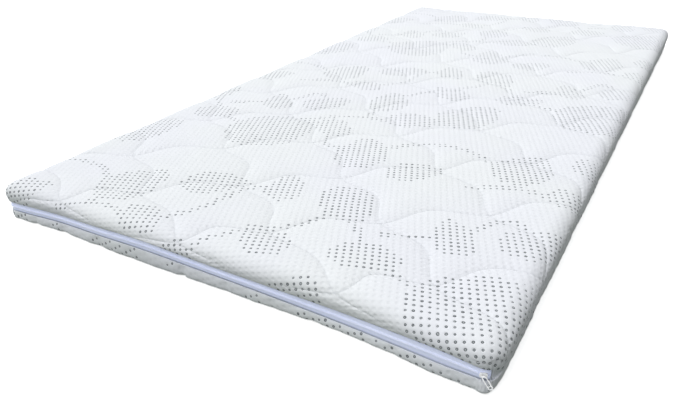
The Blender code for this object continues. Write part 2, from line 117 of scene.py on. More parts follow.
def edges_of(face: list) -> zip:
    """A face's edges, as pairs of corners."""
    return zip(face, face[1:] + face[:1])


def ring_faces(rings: int, sides: int, first: int = 0) -> list:
    """Faces between rings of vertices that follow each other.

    Args:
        rings: how many rings there are.
        sides: vertices in each ring.
        first: number of the first ring's first vertex.

    Returns:
        The faces, each with its corners in order.
    """
    faces = []
    for start in range(first, first + (rings - 1) * sides, sides):
        for side in range(sides):
            after = (side + 1) % sides
            faces.append([start + side, start + after, start + sides + after, start + sides + side])
    return faces


def tube_faces(rings: int, sides: int, turn_over: bool) -> list:
    """Faces of a run of rings that is closed at both ends.

    Args:
        rings: how many rings there are.
        sides: vertices in each ring.
        turn_over: whether all the faces have to look the other way.

    Returns:
        All its faces, each with its corners in order.
    """
    first = list(range(sides))
    last = [corner + (rings - 1) * sides for corner in first]
    faces = [*ring_faces(rings, sides), first[::-1], last]
    return [face[::-1] for face in faces] if turn_over else faces


class Slot(Enum):
    """The record's material slots."""

    KNIT = "quilted_knit"
    TAPE = "zip_tape"
    COIL = "zip_coil"
    METAL = "slider_metal"


@dataclass
class Piece:
    """A mesh in the making, with its maps.

    Attributes:
        name: name of the finished object.
        verts: places, one row each.
        faces: corner numbers of each face.
        maps: UV maps by name, one row for each vertex.
        corner_maps: UV maps by name, one row for each face corner.
        values: single numbers by name, one for each vertex.
    """

    name: str
    verts: Points
    faces: list
    maps: dict[str, Points] = field(default_factory=dict)
    corner_maps: dict[str, Points] = field(default_factory=dict)
    values: dict[str, Points] = field(default_factory=dict)

    def finished(self, material: bpy.types.Material, slot: Slot, sharp_deg: float) -> bpy.types.Object:
        """Makes the object and lets it ride with the topper.

        Args:
            material: its finish.
            slot: the record's slot that the finish belongs to; it is not used.
            sharp_deg: edges that turn by more stay sharp.

        Returns:
            The object in the scene.
        """
        mesh = bpy.data.meshes.new(self.name)
        mesh.from_pydata(self.verts.tolist(), [], self.faces)
        corner_verts = np.empty(len(mesh.loops), int)
        mesh.loops.foreach_get("vertex_index", corner_verts)
        for name, rows in self.maps.items():
            corners = rows[corner_verts].astype(np.float32)
            mesh.uv_layers.new(name=name).uv.foreach_set("vector", corners.ravel())
        for name, rows in self.corner_maps.items():
            mesh.uv_layers.new(name=name).uv.foreach_set("vector", rows.astype(np.float32).ravel())
        for name, numbers in self.values.items():
            layer = mesh.attributes.new(name, "FLOAT", "POINT")
            layer.data.foreach_set("value", numbers.astype(np.float32))
        mesh.shade_smooth()
        mesh.set_sharp_from_angle(angle=math.radians(sharp_deg))
        mesh.materials.append(material)
        obj = bpy.data.objects.new(self.name, mesh)
        bpy.context.scene.collection.objects.link(obj)
        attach(obj, BODY)
        LOG.info("%s: %d vertices, %d faces", self.name, len(mesh.vertices), len(mesh.polygons))
        return obj


@dataclass(frozen=True)
class Frames:
    """Places with their own axes: along, side and up, one row each."""

    place: Points
    along: Points
    side: Points
    up: Points

    def copies(self, name: str, verts: Points, faces: list) -> Piece:
        """A joined piece with one copy of a small mesh at each frame.

        Args:
            name: name of the piece.
            verts: the small mesh, as (along, side, up) rows.
            faces: its faces.

        Returns:
            The piece, whose map "local" holds each vertex's own (along, side).
        """
        axes = np.stack([self.along, self.side, self.up], axis=1)
        moved = self.place[:, None, :] + np.einsum("vk,nkc->nvc", verts, axes)
        count = len(self.place)
        shifted = np.arange(count) * len(verts)
        all_faces = [[corner + shift for corner in face] for shift in shifted.tolist() for face in faces]
        piece = Piece(name, moved.reshape(-1, 3), all_faces)
        piece.maps["local"] = np.tile(verts[:, :2], (count, 1))
        return piece


# ---- Finishes ------------------------------------------------------------------------------------------


@dataclass(frozen=True)
class Signal:
    """A value or vector on its way through a material's nodes. Python's operators add the nodes."""

    shade: "NodeMaker"
    socket: bpy.types.NodeSocket

    def _with(self, operation: str, first: object, second: object) -> "Signal":
        """One Math node, or a Vector Math node where this signal is a vector."""
        kind = "ShaderNodeVectorMath" if self.socket.type == "VECTOR" else "ShaderNodeMath"
        return self.shade.node(kind, {"operation": operation}, {0: first, 1: second})

    def __add__(self, other: object) -> "Signal":
        """Sum."""
        return self._with("ADD", self, other)

    __radd__ = __add__

    def __sub__(self, other: object) -> "Signal":
        """Difference."""
        return self._with("SUBTRACT", self, other)

    def __rsub__(self, other: object) -> "Signal":
        """Difference, the other way round."""
        return self._with("SUBTRACT", other, self)

    def __mul__(self, other: object) -> "Signal":
        """Product."""
        return self._with("MULTIPLY", self, other)

    __rmul__ = __mul__

    def __pow__(self, other: object) -> "Signal":
        """Power."""
        return self._with("POWER", self, other)

    def __abs__(self) -> "Signal":
        """Size without its sign."""
        return self._with("ABSOLUTE", self, 0.0)

    def sine(self) -> "Signal":
        """Sine of an angle in radians."""
        return self._with("SINE", self, 0.0)

    def exponent(self) -> "Signal":
        """Power of e."""
        return self._with("EXPONENT", self, 0.0)

    def from_whole(self) -> "Signal":
        """Signed distance from the nearest whole number."""
        return self._with("FRACT", self + 0.5, 0.0) - 0.5

    def clipped(self) -> "Signal":
        """Held between 0 and 1."""
        return self.shade.node("ShaderNodeClamp", {}, {"Value": self})

    def rise(self, low: float, high: float) -> "Signal":
        """Soft step from 0 at low to 1 at high.

        Args:
            low: where it starts.
            high: where it ends.

        Returns:
            The step.
        """
        return self.shade.node(
            "ShaderNodeMapRange", {"interpolation_type": "SMOOTHSTEP"}, {"Value": self, 1: low, 2: high}
        )


class NodeMaker:
    """Adds nodes to one node tree."""

    def __init__(self, tree: bpy.types.NodeTree) -> None:
        """Keeps the tree."""
        self.tree = tree

    def node(self, kind: str, settings: dict, inputs: dict, output: int | str = 0) -> Signal:
        """Adds a node.

        Args:
            kind: node type.
            settings: its properties, set before its sockets.
            inputs: values or signals, by socket name or number.
            output: the output to go on with.

        Returns:
            The chosen output.
        """
        made = self.tree.nodes.new(kind)
        for name, setting in settings.items():
            setattr(made, name, setting)
        for name, value in inputs.items():
            self.feed(made.inputs[name], value)
        return Signal(self, made.outputs[output])

    def feed(self, socket: bpy.types.NodeSocket, value: object) -> None:
        """Links a signal to a socket, or sets the socket to a number or colour.

        Args:
            socket: the socket.
            value: the signal, number or colour.
        """
        if isinstance(value, Signal):
            self.tree.links.new(value.socket, socket)
        elif isinstance(value, tuple) and len(value) == 3 and socket.type == "RGBA":
            socket.default_value = (*value, 1.0)
        else:
            socket.default_value = value

    def part(self, vector: Signal, number: int) -> Signal:
        """One of the three numbers of a vector."""
        return self.node("ShaderNodeSeparateXYZ", {}, {"Vector": vector}, number)

    def vector(self, x: object, y: object, z: object = 0.0) -> Signal:
        """A vector from three numbers."""
        return self.node("ShaderNodeCombineXYZ", {}, {0: x, 1: y, 2: z})

    def noise(self, place: Signal, scale: float, detail: float = 2.0) -> Signal:
        """Soft noise from 0 to 1."""
        return self.node("ShaderNodeTexNoise", {}, {"Vector": place, "Scale": scale, "Detail": detail})

    def blend(self, share: object, low: object, high: object) -> Signal:
        """Colour between low and high."""
        return self.node("ShaderNodeMix", {"data_type": "RGBA"}, {"Factor": share, 6: low, 7: high}, 2)


class Shade(NodeMaker):
    """One material in the making."""

    def __init__(self, name: str) -> None:
        """Starts a material with its plain shader.

        Args:
            name: name of the material.
        """
        self.material = bpy.data.materials.new(name)
        self.material.use_nodes = True
        super().__init__(self.material.node_tree)
        self.shader = self.tree.nodes["Principled BSDF"]

    def dress(self, **inputs: object) -> bpy.types.Material:
        """Feeds the shader and gives the material.

        Args:
            inputs: values or signals, by the sockets' names with _ for spaces.

        Returns:
            The material.
        """
        for name, value in inputs.items():
            self.feed(self.shader.inputs[name.replace("_", " ")], value)
        return self.material

    def map(self, name: str) -> tuple[Signal, Signal]:
        """The two numbers of a UV map."""
        vector = self.node("ShaderNodeUVMap", {"uv_map": name}, {})
        return self.part(vector, 0), self.part(vector, 1)

    def value(self, name: str) -> Signal:
        """A single number kept on the mesh."""
        return self.node("ShaderNodeAttribute", {"attribute_name": name}, {}, "Fac")

    def relief(self, height: Signal) -> Signal:
        """Normal of a surface raised by a height in metres."""
        return self.node("ShaderNodeBump", {}, {"Strength": 1.0, "Distance": 1.0, "Height": height})


@dataclass(frozen=True)
class DotNet:
    """The slanted net on which the knit has a dimple, and in the leaves a grey dot."""

    first: Pair = (0.010514, 0.004141)
    second: Pair = (0.004220, -0.009941)
    origin: Pair = (0.4015, -0.9382)
    spare: float = 2.5

    def numbers(self) -> Points:
        """Matrix that turns a step on the cloth into steps along the net."""
        return np.linalg.inv(np.array([self.first, self.second]).T)

    def places(self, half_x: float, half_y: float) -> Points:
        """All the net's places on the cloth within two half sizes.

        Args:
            half_x: half size across.
            half_y: half size along.

        Returns:
            Cloth points.
        """
        reach = int(self.spare * max(half_x, half_y) / min(np.hypot(*self.first), np.hypot(*self.second)))
        steps = np.arange(-reach, reach + 1)
        one, two = np.meshgrid(steps, steps, indexing="ij")
        places = np.array(self.origin) + one.reshape(-1, 1) * self.first + two.reshape(-1, 1) * self.second
        return places[(np.abs(places) < (half_x, half_y)).all(axis=1)]


@dataclass(frozen=True)
class KnitFinish:
    """White jacquard knit with fine stitches, dimples on the dot net and puckers beside the sewn lines.

    Painted shade darkens the dimples, the low parts of the stitches and the sewn lines.
    """

    net: DotNet
    side: float
    colour: Triple = (0.806, 0.828, 0.846)
    cool: Triple = (0.802, 0.816, 0.862)
    # shade_colour is the colour of the painted shade, and of the darker random fibres
    shade_colour: Triple = (0.560, 0.600, 0.640)
    dimple_reach: float = 0.0044
    dimple_floor: float = 0.0011
    dimple_depth: float = 0.00058
    wale: float = 0.00105
    course: float = 0.00085
    stitch_height: float = 0.00006
    loop_share: float = 0.6
    lean: float = 0.9
    pucker_pitch: float = 0.0125
    pucker_height: float = 0.00032
    pucker_reach: float = 0.011
    pucker_wobble: float = 14.0
    crease_reach: float = 0.0016
    patches_per_metre: float = 3.1
    patch_span: Pair = (0.35, 0.65)
    bumps_per_metre: float = 24.0
    bump_height: float = 0.0009
    fibres_per_metre: float = 310.0
    fibre_height: float = 0.00008
    # painted shade: how far the dimples, the low parts of the stitches and the sewn lines are darkened;
    # fibre_shade is random fibre tone
    dimple_shade: float = 0.07
    stitch_shade: float = 0.04
    crease_shade: float = 0.12
    fibre_shade: float = 0.10

    def dimple(self, across: Signal, along: Signal) -> Signal:
        """1 in the middle of a dimple, 0 between the dimples.

        Args:
            across: place across the topper on the cloth.
            along: place along the topper on the cloth.

        Returns:
            The share of a dimple.
        """
        matrix = self.net.numbers()
        start = matrix @ np.array(self.net.origin)
        steps = []
        for row, shift, step in zip(matrix, start, (self.net.first, self.net.second)):
            steps.append((across * row[0] + along * row[1] - shift).from_whole() * math.hypot(*step))
        away = (steps[0] * steps[0] + steps[1] * steps[1]) ** 0.5
        return 1.0 - away.rise(self.dimple_floor, self.dimple_reach)

    def stitches(self, across: Signal, along: Signal) -> Signal:
        """Height of the fine knitted stitches, from 0 to 1.

        Args:
            across: place across the topper on the cloth.
            along: place along the topper on the cloth.

        Returns:
            The height.
        """
        wale = across * (1.0 / self.wale)
        lean = abs(wale.from_whole()) * self.lean
        loop = ((along * (1.0 / self.course) + lean) * FULL_TURN).sine() * 0.5 + 0.5
        rib = abs((wale * math.pi).sine())
        return rib * (loop * self.loop_share + (1.0 - self.loop_share))

    def puckers(self, first: Signal, second: Signal, wobble: Signal) -> Signal:
        """Small gathers across the sewn lines, from -1 to 1.

        Args:
            first: lattice number of one family.
            second: that of the other.
            wobble: noise that shifts them.

        Returns:
            Their height.
        """
        pace = FULL_TURN * self.side / self.pucker_pitch
        waves = []
        for line, along in ((first, second), (second, first)):
            away = abs(line.from_whole()) * (-self.side / self.pucker_reach)
            wave = (along * pace + wobble * self.pucker_wobble).sine()
            waves.append(wave * away.exponent())
        return waves[0] + waves[1]

    def made(self) -> bpy.types.Material:
        """Makes the material.

        Returns:
            The material.
        """
        shade = Shade("white_jacquard_knit")
        across, along = shade.map("cloth")
        first, second = shade.map("sewn_lines")
        place = shade.vector(across, along)
        patches = shade.noise(place, self.patches_per_metre)
        bumps = shade.noise(place, self.bumps_per_metre)
        fibres = shade.noise(place, self.fibres_per_metre, detail=4.0)
        dimple = self.dimple(across, along)
        stitches = self.stitches(across, along)
        narrow = -self.side / self.crease_reach
        creases = [(abs(lines.from_whole()) * narrow).exponent() for lines in (first, second)]
        colour = shade.blend(patches.rise(*self.patch_span), self.colour, self.cool)
        # painted shade in the dimples, between the stitches and along the sewn lines, plus random fibre tone
        wear_and_painted_shade = (
            dimple * self.dimple_shade
            + (1.0 - stitches) * self.stitch_shade
            + (creases[0] + creases[1]).clipped() * self.crease_shade
            + (fibres - 0.5) * self.fibre_shade
        )
        colour = shade.blend(wear_and_painted_shade.clipped(), colour, self.shade_colour)
        height = (
            stitches * self.stitch_height
            - dimple * self.dimple_depth
            + self.puckers(first, second, bumps) * self.pucker_height
            + bumps * self.bump_height
            + fibres * self.fibre_height
        )
        return shade.dress(
            Base_Color=colour,
            Roughness=0.92,
            Sheen_Weight=0.12,
            Sheen_Roughness=0.5,
            Normal=shade.relief(height),
        )


@dataclass(frozen=True)
class DotYarnFinish:
    """Grey yarn that shows in a small ring at each dot, paler in its middle, with painted light towards the
    far end.
    """

    dark: Triple = (0.105, 0.120, 0.130)
    pale: Triple = (0.560, 0.590, 0.610)
    # painted light: the dots are painted paler towards the far end
    painted_light_far_end: float = 0.46
    pale_middle: float = 0.80
    middle_span: Pair = (0.18, 0.52)
    pale_gap: float = 0.60
    gap_span: Pair = (0.35, 0.75)
    gap_seeds: Pair = (0.35, 0.90)
    far_end_span: Pair = (-0.6, 0.9)
    uneven: float = 0.18
    thread: float = 0.00042
    loop_height: float = 0.00005

    def made(self) -> bpy.types.Material:
        """Makes the material.

        Returns:
            The material.
        """
        shade = Shade("grey_dot_yarn")
        along, side = shade.map("local")
        seed = shade.value("seed")
        away = (along * along + side * side) ** 0.5
        turn = seed * FULL_TURN
        lean = along * (turn + math.pi / 2).sine() + side * turn.sine()
        gap = lean.rise(*self.gap_span) * seed.rise(*self.gap_seeds)
        across, down = shade.map("cloth")
        tone = (
            (1.0 - away.rise(*self.middle_span)) * self.pale_middle
            + gap * self.pale_gap
            + seed * self.uneven
            # painted light that pales the dots towards the far end
            + down.rise(*self.far_end_span) * self.painted_light_far_end
        )
        colour = shade.blend(tone.clipped(), self.dark, self.pale)
        loops = (across * (FULL_TURN / self.thread)).sine() * (down * (FULL_TURN / self.thread)).sine()
        return shade.dress(Base_Color=colour, Roughness=0.88, Normal=shade.relief(loops * self.loop_height))


@dataclass(frozen=True)
class ThreadFinish:
    """White twisted sewing thread, with painted shade in the grooves of its twist."""

    colour: Triple = (0.80, 0.82, 0.85)
    # between: painted shade in the grooves between the twisted plies
    between: Triple = (0.480, 0.492, 0.510)
    twist: float = 0.0006
    slant: float = 0.8
    hollow_shade_share: float = 0.25
    twist_height: float = 0.00003

    def made(self) -> bpy.types.Material:
        """Makes the material.

        Returns:
            The material.
        """
        shade = Shade("white_quilting_thread")
        along, side = shade.map("local")
        twist = ((along + side * self.slant) * (FULL_TURN / self.twist)).sine()
        # painted shade in the grooves of the twist
        tint = shade.blend((twist * 0.5 + 0.5) * self.hollow_shade_share, self.colour, self.between)
        return shade.dress(Base_Color=tint, Roughness=0.6, Normal=shade.relief(twist * self.twist_height))


@dataclass(frozen=True)
class TapeFinish:
    """Lilac woven zip tape with ribs along it, and painted shade in its hollows and the fold where it is
    sewn in.

    A faint painted glow, strongest in blue, lightens the tape outside the fold.
    """

    colour: Triple = (0.860, 0.885, 0.985)
    # groove: painted shade in the hollows between ribs and picks; edge: painted shade in the fold where the
    # tape is sewn in
    groove: Triple = (0.720, 0.750, 0.940)
    edge: Triple = (0.400, 0.430, 0.500)
    # brightener and glow: a painted glow that lightens the tape
    painted_glow_tint: Triple = (0.55, 0.64, 1.00)
    glow: float = 0.22
    rib: float = 0.00085
    pick: float = 0.00055
    rib_share: float = 0.6
    hollow_shade_share: float = 0.5
    bump_share: float = 0.2
    weave_height: float = 0.00009
    bump_height: float = 0.0003
    bumps_per_metre: float = 90.0
    fold_shade_span: Pair = (0.0058, 0.0108)

    def made(self) -> bpy.types.Material:
        """Makes the material.

        Returns:
            The material.
        """
        shade = Shade("lilac_woven_tape")
        along, across = shade.map("cloth")
        rib = (across * (FULL_TURN / self.rib)).sine() * 0.5 + 0.5
        zigzag = abs((across * (1.0 / (2.0 * self.rib))).from_whole()) * 2.0
        pick = ((along * (1.0 / self.pick) + zigzag) * FULL_TURN).sine() * 0.5 + 0.5
        bumps = shade.noise(shade.vector(along, across), self.bumps_per_metre)
        weave = rib * self.rib_share + pick * (1.0 - self.rib_share)
        # painted shade in the weave's hollows, with random tone from the bumps
        dark = (1.0 - weave) * self.hollow_shade_share + bumps * self.bump_share
        colour = shade.blend(dark.clipped(), self.colour, self.groove)
        # painted shade in the fold where the tape is sewn in; the painted glow stops there
        sewn = across.rise(*self.fold_shade_span)
        return shade.dress(
            Base_Color=shade.blend(sewn, colour, self.edge),
            Roughness=0.72,
            Emission_Color=shade.blend(sewn, self.painted_glow_tint, (0.0, 0.0, 0.0)),
            Emission_Strength=self.glow,
            Normal=shade.relief(weave * self.weave_height + bumps * self.bump_height),
        )


@dataclass(frozen=True)
class CoilFinish:
    """Pale lilac nylon coil, cloudy and slightly glossy, lightened by a faint bluish painted glow."""

    colour: Triple = (0.920, 0.935, 0.990)
    shade_colour: Triple = (0.840, 0.860, 0.970)
    # brightener and glow: a painted glow that lightens the coil
    painted_glow_tint: Triple = (0.60, 0.70, 1.00)
    glow: float = 0.20
    clouds_per_metre: float = 700.0
    cloud_height: float = 0.00006

    def made(self) -> bpy.types.Material:
        """Makes the material.

        Returns:
            The material.
        """
        shade = Shade("pale_nylon_coil")
        along, side = shade.map("local")
        cloudy = shade.noise(shade.vector(along, side, shade.value("seed")), self.clouds_per_metre)
        return shade.dress(
            Base_Color=shade.blend(cloudy, self.colour, self.shade_colour),
            Roughness=0.38,
            Coat_Weight=0.15,
            Coat_Roughness=0.3,
            Emission_Color=self.painted_glow_tint,
            Emission_Strength=self.glow,
            Normal=shade.relief(cloudy * self.cloud_height),
        )


@dataclass(frozen=True)
class MetalFinish:
    """Glossy white enamel on die-cast metal, rubbed thin in small patches."""

    enamel: Triple = (0.970, 0.972, 0.980)
    bare: Triple = (0.860, 0.865, 0.885)
    patches_per_metre: float = 520.0
    pits_per_metre: float = 1500.0
    pit_depth: float = 0.00002
    worn_span: Pair = (0.56, 0.70)
    roughness: Pair = (0.20, 0.35)
    metallic: Pair = (0.2, 0.6)

    def made(self) -> bpy.types.Material:
        """Makes the material.

        Returns:
            The material.
        """
        shade = Shade("white_painted_metal")
        place = shade.node("ShaderNodeTexCoord", {}, {}, "Object")
        wear_and_painted_shade = shade.noise(place, self.patches_per_metre, detail=5.0).rise(*self.worn_span)
        pitted = shade.noise(place, self.pits_per_metre, detail=3.0)
        return shade.dress(
            Base_Color=shade.blend(wear_and_painted_shade, self.enamel, self.bare),
            Roughness=wear_and_painted_shade * (self.roughness[1] - self.roughness[0]) + self.roughness[0],
            Metallic=wear_and_painted_shade * (self.metallic[1] - self.metallic[0]) + self.metallic[0],
            Coat_Weight=0.9,
            Coat_Roughness=0.08,
            Normal=shade.relief(pitted * self.pit_depth),
        )


@dataclass(frozen=True)
class FloorFinish:
    """Pale, faintly cloudy floor, lit so evenly that it comes out white."""

    colour: Triple = (0.930, 0.930, 0.930)
    cloud: Triple = (0.91605, 0.91605, 0.91605)
    clouds_per_metre: float = 1.5
    glow: float = 0.60

    def made(self) -> bpy.types.Material:
        """Makes the material.

        Returns:
            The material.
        """
        shade = Shade("pale_floor")
        place = shade.node("ShaderNodeTexCoord", {}, {}, "Object")
        cloudy = shade.noise(place, self.clouds_per_metre)
        colour = shade.blend(cloudy, self.colour, self.cloud)
        return shade.dress(
            Base_Color=colour, Roughness=0.9, Emission_Color=(1.0, 1.0, 1.0), Emission_Strength=self.glow
        )


# ---- Shape of the cover --------------------------------------------------------------------------------


@dataclass(frozen=True)
class Quilting:
    """Two mirrored families of wavy sewn lines on the flat cloth.

    Each point of the cloth has two lattice numbers, and a sewn line has a whole number as one of them. The
    cloth is gathered where the zip holds the short end, so the last row of diamonds is shorter there.
    """

    crossing: Pair = (0.3715, -0.6615)
    half_width: float = 0.148
    half_height: float = 0.1215
    bow: float = 0.033
    tilt: float = -0.014
    gather_start: float = -0.900
    gather_scale: float = 0.76
    gather_shift: float = 0.030
    gather_length: float = 0.120
    depth: float = 0.0034
    slope: float = 0.020
    crease_depth: float = 0.0006
    crease_slope: float = 0.0026
    solving_steps: int = 60

    @property
    def side(self) -> float:
        """Length of a diamond's side."""
        return math.hypot(self.half_width, self.half_height)

    def axes(self) -> tuple[Points, Points]:
        """Matrices of the lattice's steps and of the lines' bows.

        Returns:
            The two matrices.
        """
        wide, high = self.half_width, self.half_height
        steps = turned(self.tilt) @ np.array([[-wide, wide], [-high, -high]])
        bows = turned(self.tilt) @ (np.array([[-high, high], [wide, wide]]) / self.side)
        return steps, bows

    def bowed(self, lattice: Points) -> Points:
        """How far the lines bow sideways."""
        return self.bow * (1.0 - np.cos(FULL_TURN * lattice)) / 2.0

    def cloth_of(self, lattice: Points) -> Points:
        """Cloth points of lattice numbers.

        Args:
            lattice: lattice numbers.

        Returns:
            The cloth points.
        """
        steps, bows = self.axes()
        points = np.array(self.crossing) + lattice @ steps.T + self.bowed(lattice) @ bows.T
        past = np.minimum(points[:, 1] - self.gather_start, 0.0)
        points[:, 0] += self.gather_shift * smooth_step(-past / self.gather_length)
        points[:, 1] += past * (self.gather_scale - 1.0)
        return points

    def lattice_of(self, cloth: Points) -> Points:
        """Lattice numbers of cloth points, found by stepping in on them.

        Args:
            cloth: cloth points.

        Returns:
            The lattice numbers.
        """
        points = np.array(cloth, float)
        past = np.minimum(points[:, 1] - self.gather_start, 0.0) / self.gather_scale
        points[:, 0] -= self.gather_shift * smooth_step(-past / self.gather_length)
        points[:, 1] += past - past * self.gather_scale
        points -= np.array(self.crossing)
        steps, bows = self.axes()
        inverse = np.linalg.inv(steps)
        lattice = points @ inverse.T
        for _ in range(self.solving_steps):
            lattice = (points - self.bowed(lattice) @ bows.T) @ inverse.T
        return lattice

    def away(self, cloth: Points) -> Points:
        """Distance from the nearest line of each family."""
        lattice = self.lattice_of(cloth)
        return np.abs(lattice - np.round(lattice)) * self.side

    @staticmethod
    def nearness(away: Points, slope: float) -> Points:
        """1 on a sewn line, falling off over a slope on both sides of it."""
        return 1.0 - np.prod(1.0 - np.exp(-away / slope), axis=1)

    def pulled_in(self, cloth: Points) -> Points:
        """1 on a sewn line and near 0 in the middle of a diamond."""
        return self.nearness(self.away(cloth), self.slope)

    def sink(self, cloth: Points) -> Points:
        """How deep the cloth lies below the top of the puffs, with the tight crease at the thread.

        Args:
            cloth: cloth points.

        Returns:
            The depths.
        """
        away = self.away(cloth)
        wide, tight = self.nearness(away, self.slope), self.nearness(away, self.crease_slope)
        return self.depth * wide + self.crease_depth * tight


@dataclass(frozen=True)
class CoverForm:
    """Shape of the filled cover: crown, rolled edge, groove of the zip and lower strip."""

    quilting: Quilting = Quilting()
    width: float = 1.000
    length: float = 2.000
    thickness: float = 0.076
    roll_reach: float = 0.030
    roll_middle_z: float = 0.052
    roll_cloth: float = 0.056
    upper_share: float = 0.757
    tuck_deg: float = 52.0
    crown: float = 0.0025
    uneven: float = 0.0006
    uneven_waves: tuple = (
        # radians across the half width, along the half length, and at the start
        (7.0, 2.0, 0.0),
        (-3.0, 11.0, 1.0),
    )
    slope_step: float = 0.002
    quilt_run_out: float = 0.52
    strip_quilt_depth: float = 0.0015
    foot_lift: float = 0.0004
    strip_ripple: float = 0.0005
    strip_waves: tuple = (
        # radians per metre along the strip, and at the start
        (271.0, 0.0),
        (149.0, 1.0),
    )
    side_groove_half: float = 0.0080
    seam_groove_half: float = 0.0010
    zip_wall: float = 0.0220
    seam_wall: float = 0.0236
    zip_lip: float = 0.0262
    roll_lip: float = 0.0273
    roll_lip_lift: float = 0.0010
    seam_lip: float = 0.0264
    lip_rise: float = 0.0010
    lip_turn: float = 0.0009
    lip_share: float = 0.4
    lower_lip_drop: float = 0.0012
    pocket_drop: float = 0.0030
    lip_cloth: float = 0.0020
    groove_steps: int = 5
    zip_start_deg: float = 310.0
    zip_end_deg: float = 140.0
    side_zip_height: float = 0.0255
    front_edge: tuple = (
        # x, drawn in, height of the middle of the zip, half height of the groove
        (-0.500, 0.0000, 0.0255, 0.0080),
        (-0.440, 0.0020, 0.0275, 0.0078),
        (-0.360, 0.0085, 0.0285, 0.0075),
        (-0.240, 0.0060, 0.0340, 0.0078),
        (-0.130, 0.0060, 0.0380, 0.0084),
        (0.000, 0.0100, 0.0330, 0.0075),
        (0.130, 0.0115, 0.0310, 0.0078),
        (0.260, 0.0150, 0.0262, 0.0092),
        (0.350, 0.0080, 0.0295, 0.0100),
        (0.430, 0.0005, 0.0325, 0.0102),
        (0.475, 0.0000, 0.0302, 0.0079),
        (0.500, 0.0000, 0.0284, 0.0074),
    )
    draw_in_start_y: float = -0.700
    notches: tuple = (
        # x on the short end, half width, depth, lift of the foot
        (-0.410, 0.0070, 0.0016, 0.0016),
        (-0.336, 0.0050, 0.0050, 0.0045),
        (-0.238, 0.0120, 0.0012, 0.0008),
        (-0.040, 0.0036, 0.0046, 0.0022),
        (0.215, 0.0110, 0.0014, 0.0010),
    )
    pinches: tuple = (
        # cloth x and y of both ends, half width, depth
        (0.4970, -1.0030, 0.5045, -0.9890, 0.0026, 0.0032),
        (-0.3100, -1.0060, -0.2980, -1.0200, 0.0050, 0.0016),
        (0.0300, -1.0040, 0.0350, -1.0200, 0.0060, 0.0014),
        (0.5060, -0.6200, 0.5160, -0.6150, 0.0060, 0.0020),
        (0.5040, -0.1020, 0.5160, -0.1080, 0.0070, 0.0018),
        (-0.5060, -0.4100, -0.5180, -0.4040, 0.0070, 0.0018),
        (-0.5040, 0.3600, -0.5180, 0.3660, 0.0060, 0.0020),
        (0.1800, 1.0040, 0.1860, 1.0180, 0.0060, 0.0018),
    )
    strip_section: tuple = (
        # share of the strip's height, reach, share of the pouch at the corner
        (0.76, 0.0274, 0.5),
        (0.34, 0.0266, 1.0),
        (0.08, 0.0240, 1.0),
        (0.00, 0.0208, 1.0),
    )
    strip_steps: int = 3
    corner_pouch: float = 0.0072
    corner_pouch_deg: float = 295.0
    corner_pouch_spread_deg: float = 28.0

    @property
    def middle(self) -> Points:
        """Half sizes of the straight middle."""
        return np.array([self.width, self.length]) / 2 - self.roll_reach

    def past_middle(self, cloth: Points) -> tuple[Points, Points, Points]:
        """Nearest point of the straight middle, the distance past it and the direction out.

        Args:
            cloth: cloth points.

        Returns:
            The nearest points, distances and directions.
        """
        nearest = np.clip(cloth, -self.middle, self.middle)
        out = cloth - nearest
        distance = np.hypot(out[:, 0], out[:, 1])
        return nearest, distance, out / np.maximum(distance, 1e-9)[:, None]

    def zip_share(self, direction: Points) -> Points:
        """1 where the edge faces a side with the zip, 0 where it has the plain seam.

        Args:
            direction: plan directions.

        Returns:
            The shares.
        """
        degrees = degrees_of(direction)
        rising = smooth_step((degrees - 90.0) / (self.zip_end_deg - 90.0))
        falling = smooth_step((360.0 - degrees) / (360.0 - self.zip_start_deg))
        return np.minimum(rising, falling)

    def along_front(self, x: Points) -> list:
        """Places along the short end.

        Args:
            x: how far across the topper they are.

        Returns:
            How far it is drawn in, the height of the middle of its zip and half the height of the groove.
        """
        knots, *columns = np.array(self.front_edge).T
        row = np.clip(np.searchsorted(knots, x) - 1, 0, len(knots) - 2)
        width = knots[row + 1] - knots[row]
        share = np.clip((x - knots[row]) / width, 0.0, 1.0)
        values = []
        for column in columns:
            slope = np.gradient(column, knots)
            bend = share * (1.0 - share) * ((1.0 - share) * slope[row] - share * slope[row + 1])
            values.append(mixed(column[row], column[row + 1], smooth_step(share)) + bend * width)
        return values

    def zip_edge(self, nearest: Points, direction: Points) -> tuple[Points, Points]:
        """Height of the middle of the zip, or of the seam, and half the height of its groove.

        Args:
            nearest: points of the straight middle.
            direction: directions out of it.

        Returns:
            The heights and half heights.
        """
        _, front_height, front_half = self.along_front(nearest[:, 0] + self.roll_reach * direction[:, 0])
        front = smooth_step(-direction[:, 1])
        zip_half = mixed(self.side_groove_half, front_half, front)
        half = mixed(self.seam_groove_half, zip_half, self.zip_share(direction))
        return mixed(self.side_zip_height, front_height, front), half

    def laid(self, nearest: Points, direction: Points, reach: Points, height: Points) -> Points:
        """Places at a reach out from the straight middle, with the short end drawn in.

        Args:
            nearest: points of the straight middle.
            direction: directions out of it.
            reach: distances out.
            height: heights.

        Returns:
            The places.
        """
        places = np.column_stack([nearest + direction * np.reshape(reach, (-1, 1)), height])
        depth, _, _ = self.along_front(places[:, 0])
        start = self.draw_in_start_y
        places[:, 1] += depth * smooth_step((start - places[:, 1]) / (start + self.middle[1]))
        return places

    def crown_height(self, nearest: Points) -> Points:
        """Height of the top before it is quilted.

        Args:
            nearest: points of the straight middle.

        Returns:
            The heights.
        """
        x, y = (nearest / self.middle).T
        crown = self.crown * (1.0 - x**4) * (1.0 - y**4)
        waves = [np.sin(across * x + along * y + start) for across, along, start in self.uneven_waves]
        return self.thickness - self.crown + crown + self.uneven * (sum(waves) - len(waves))

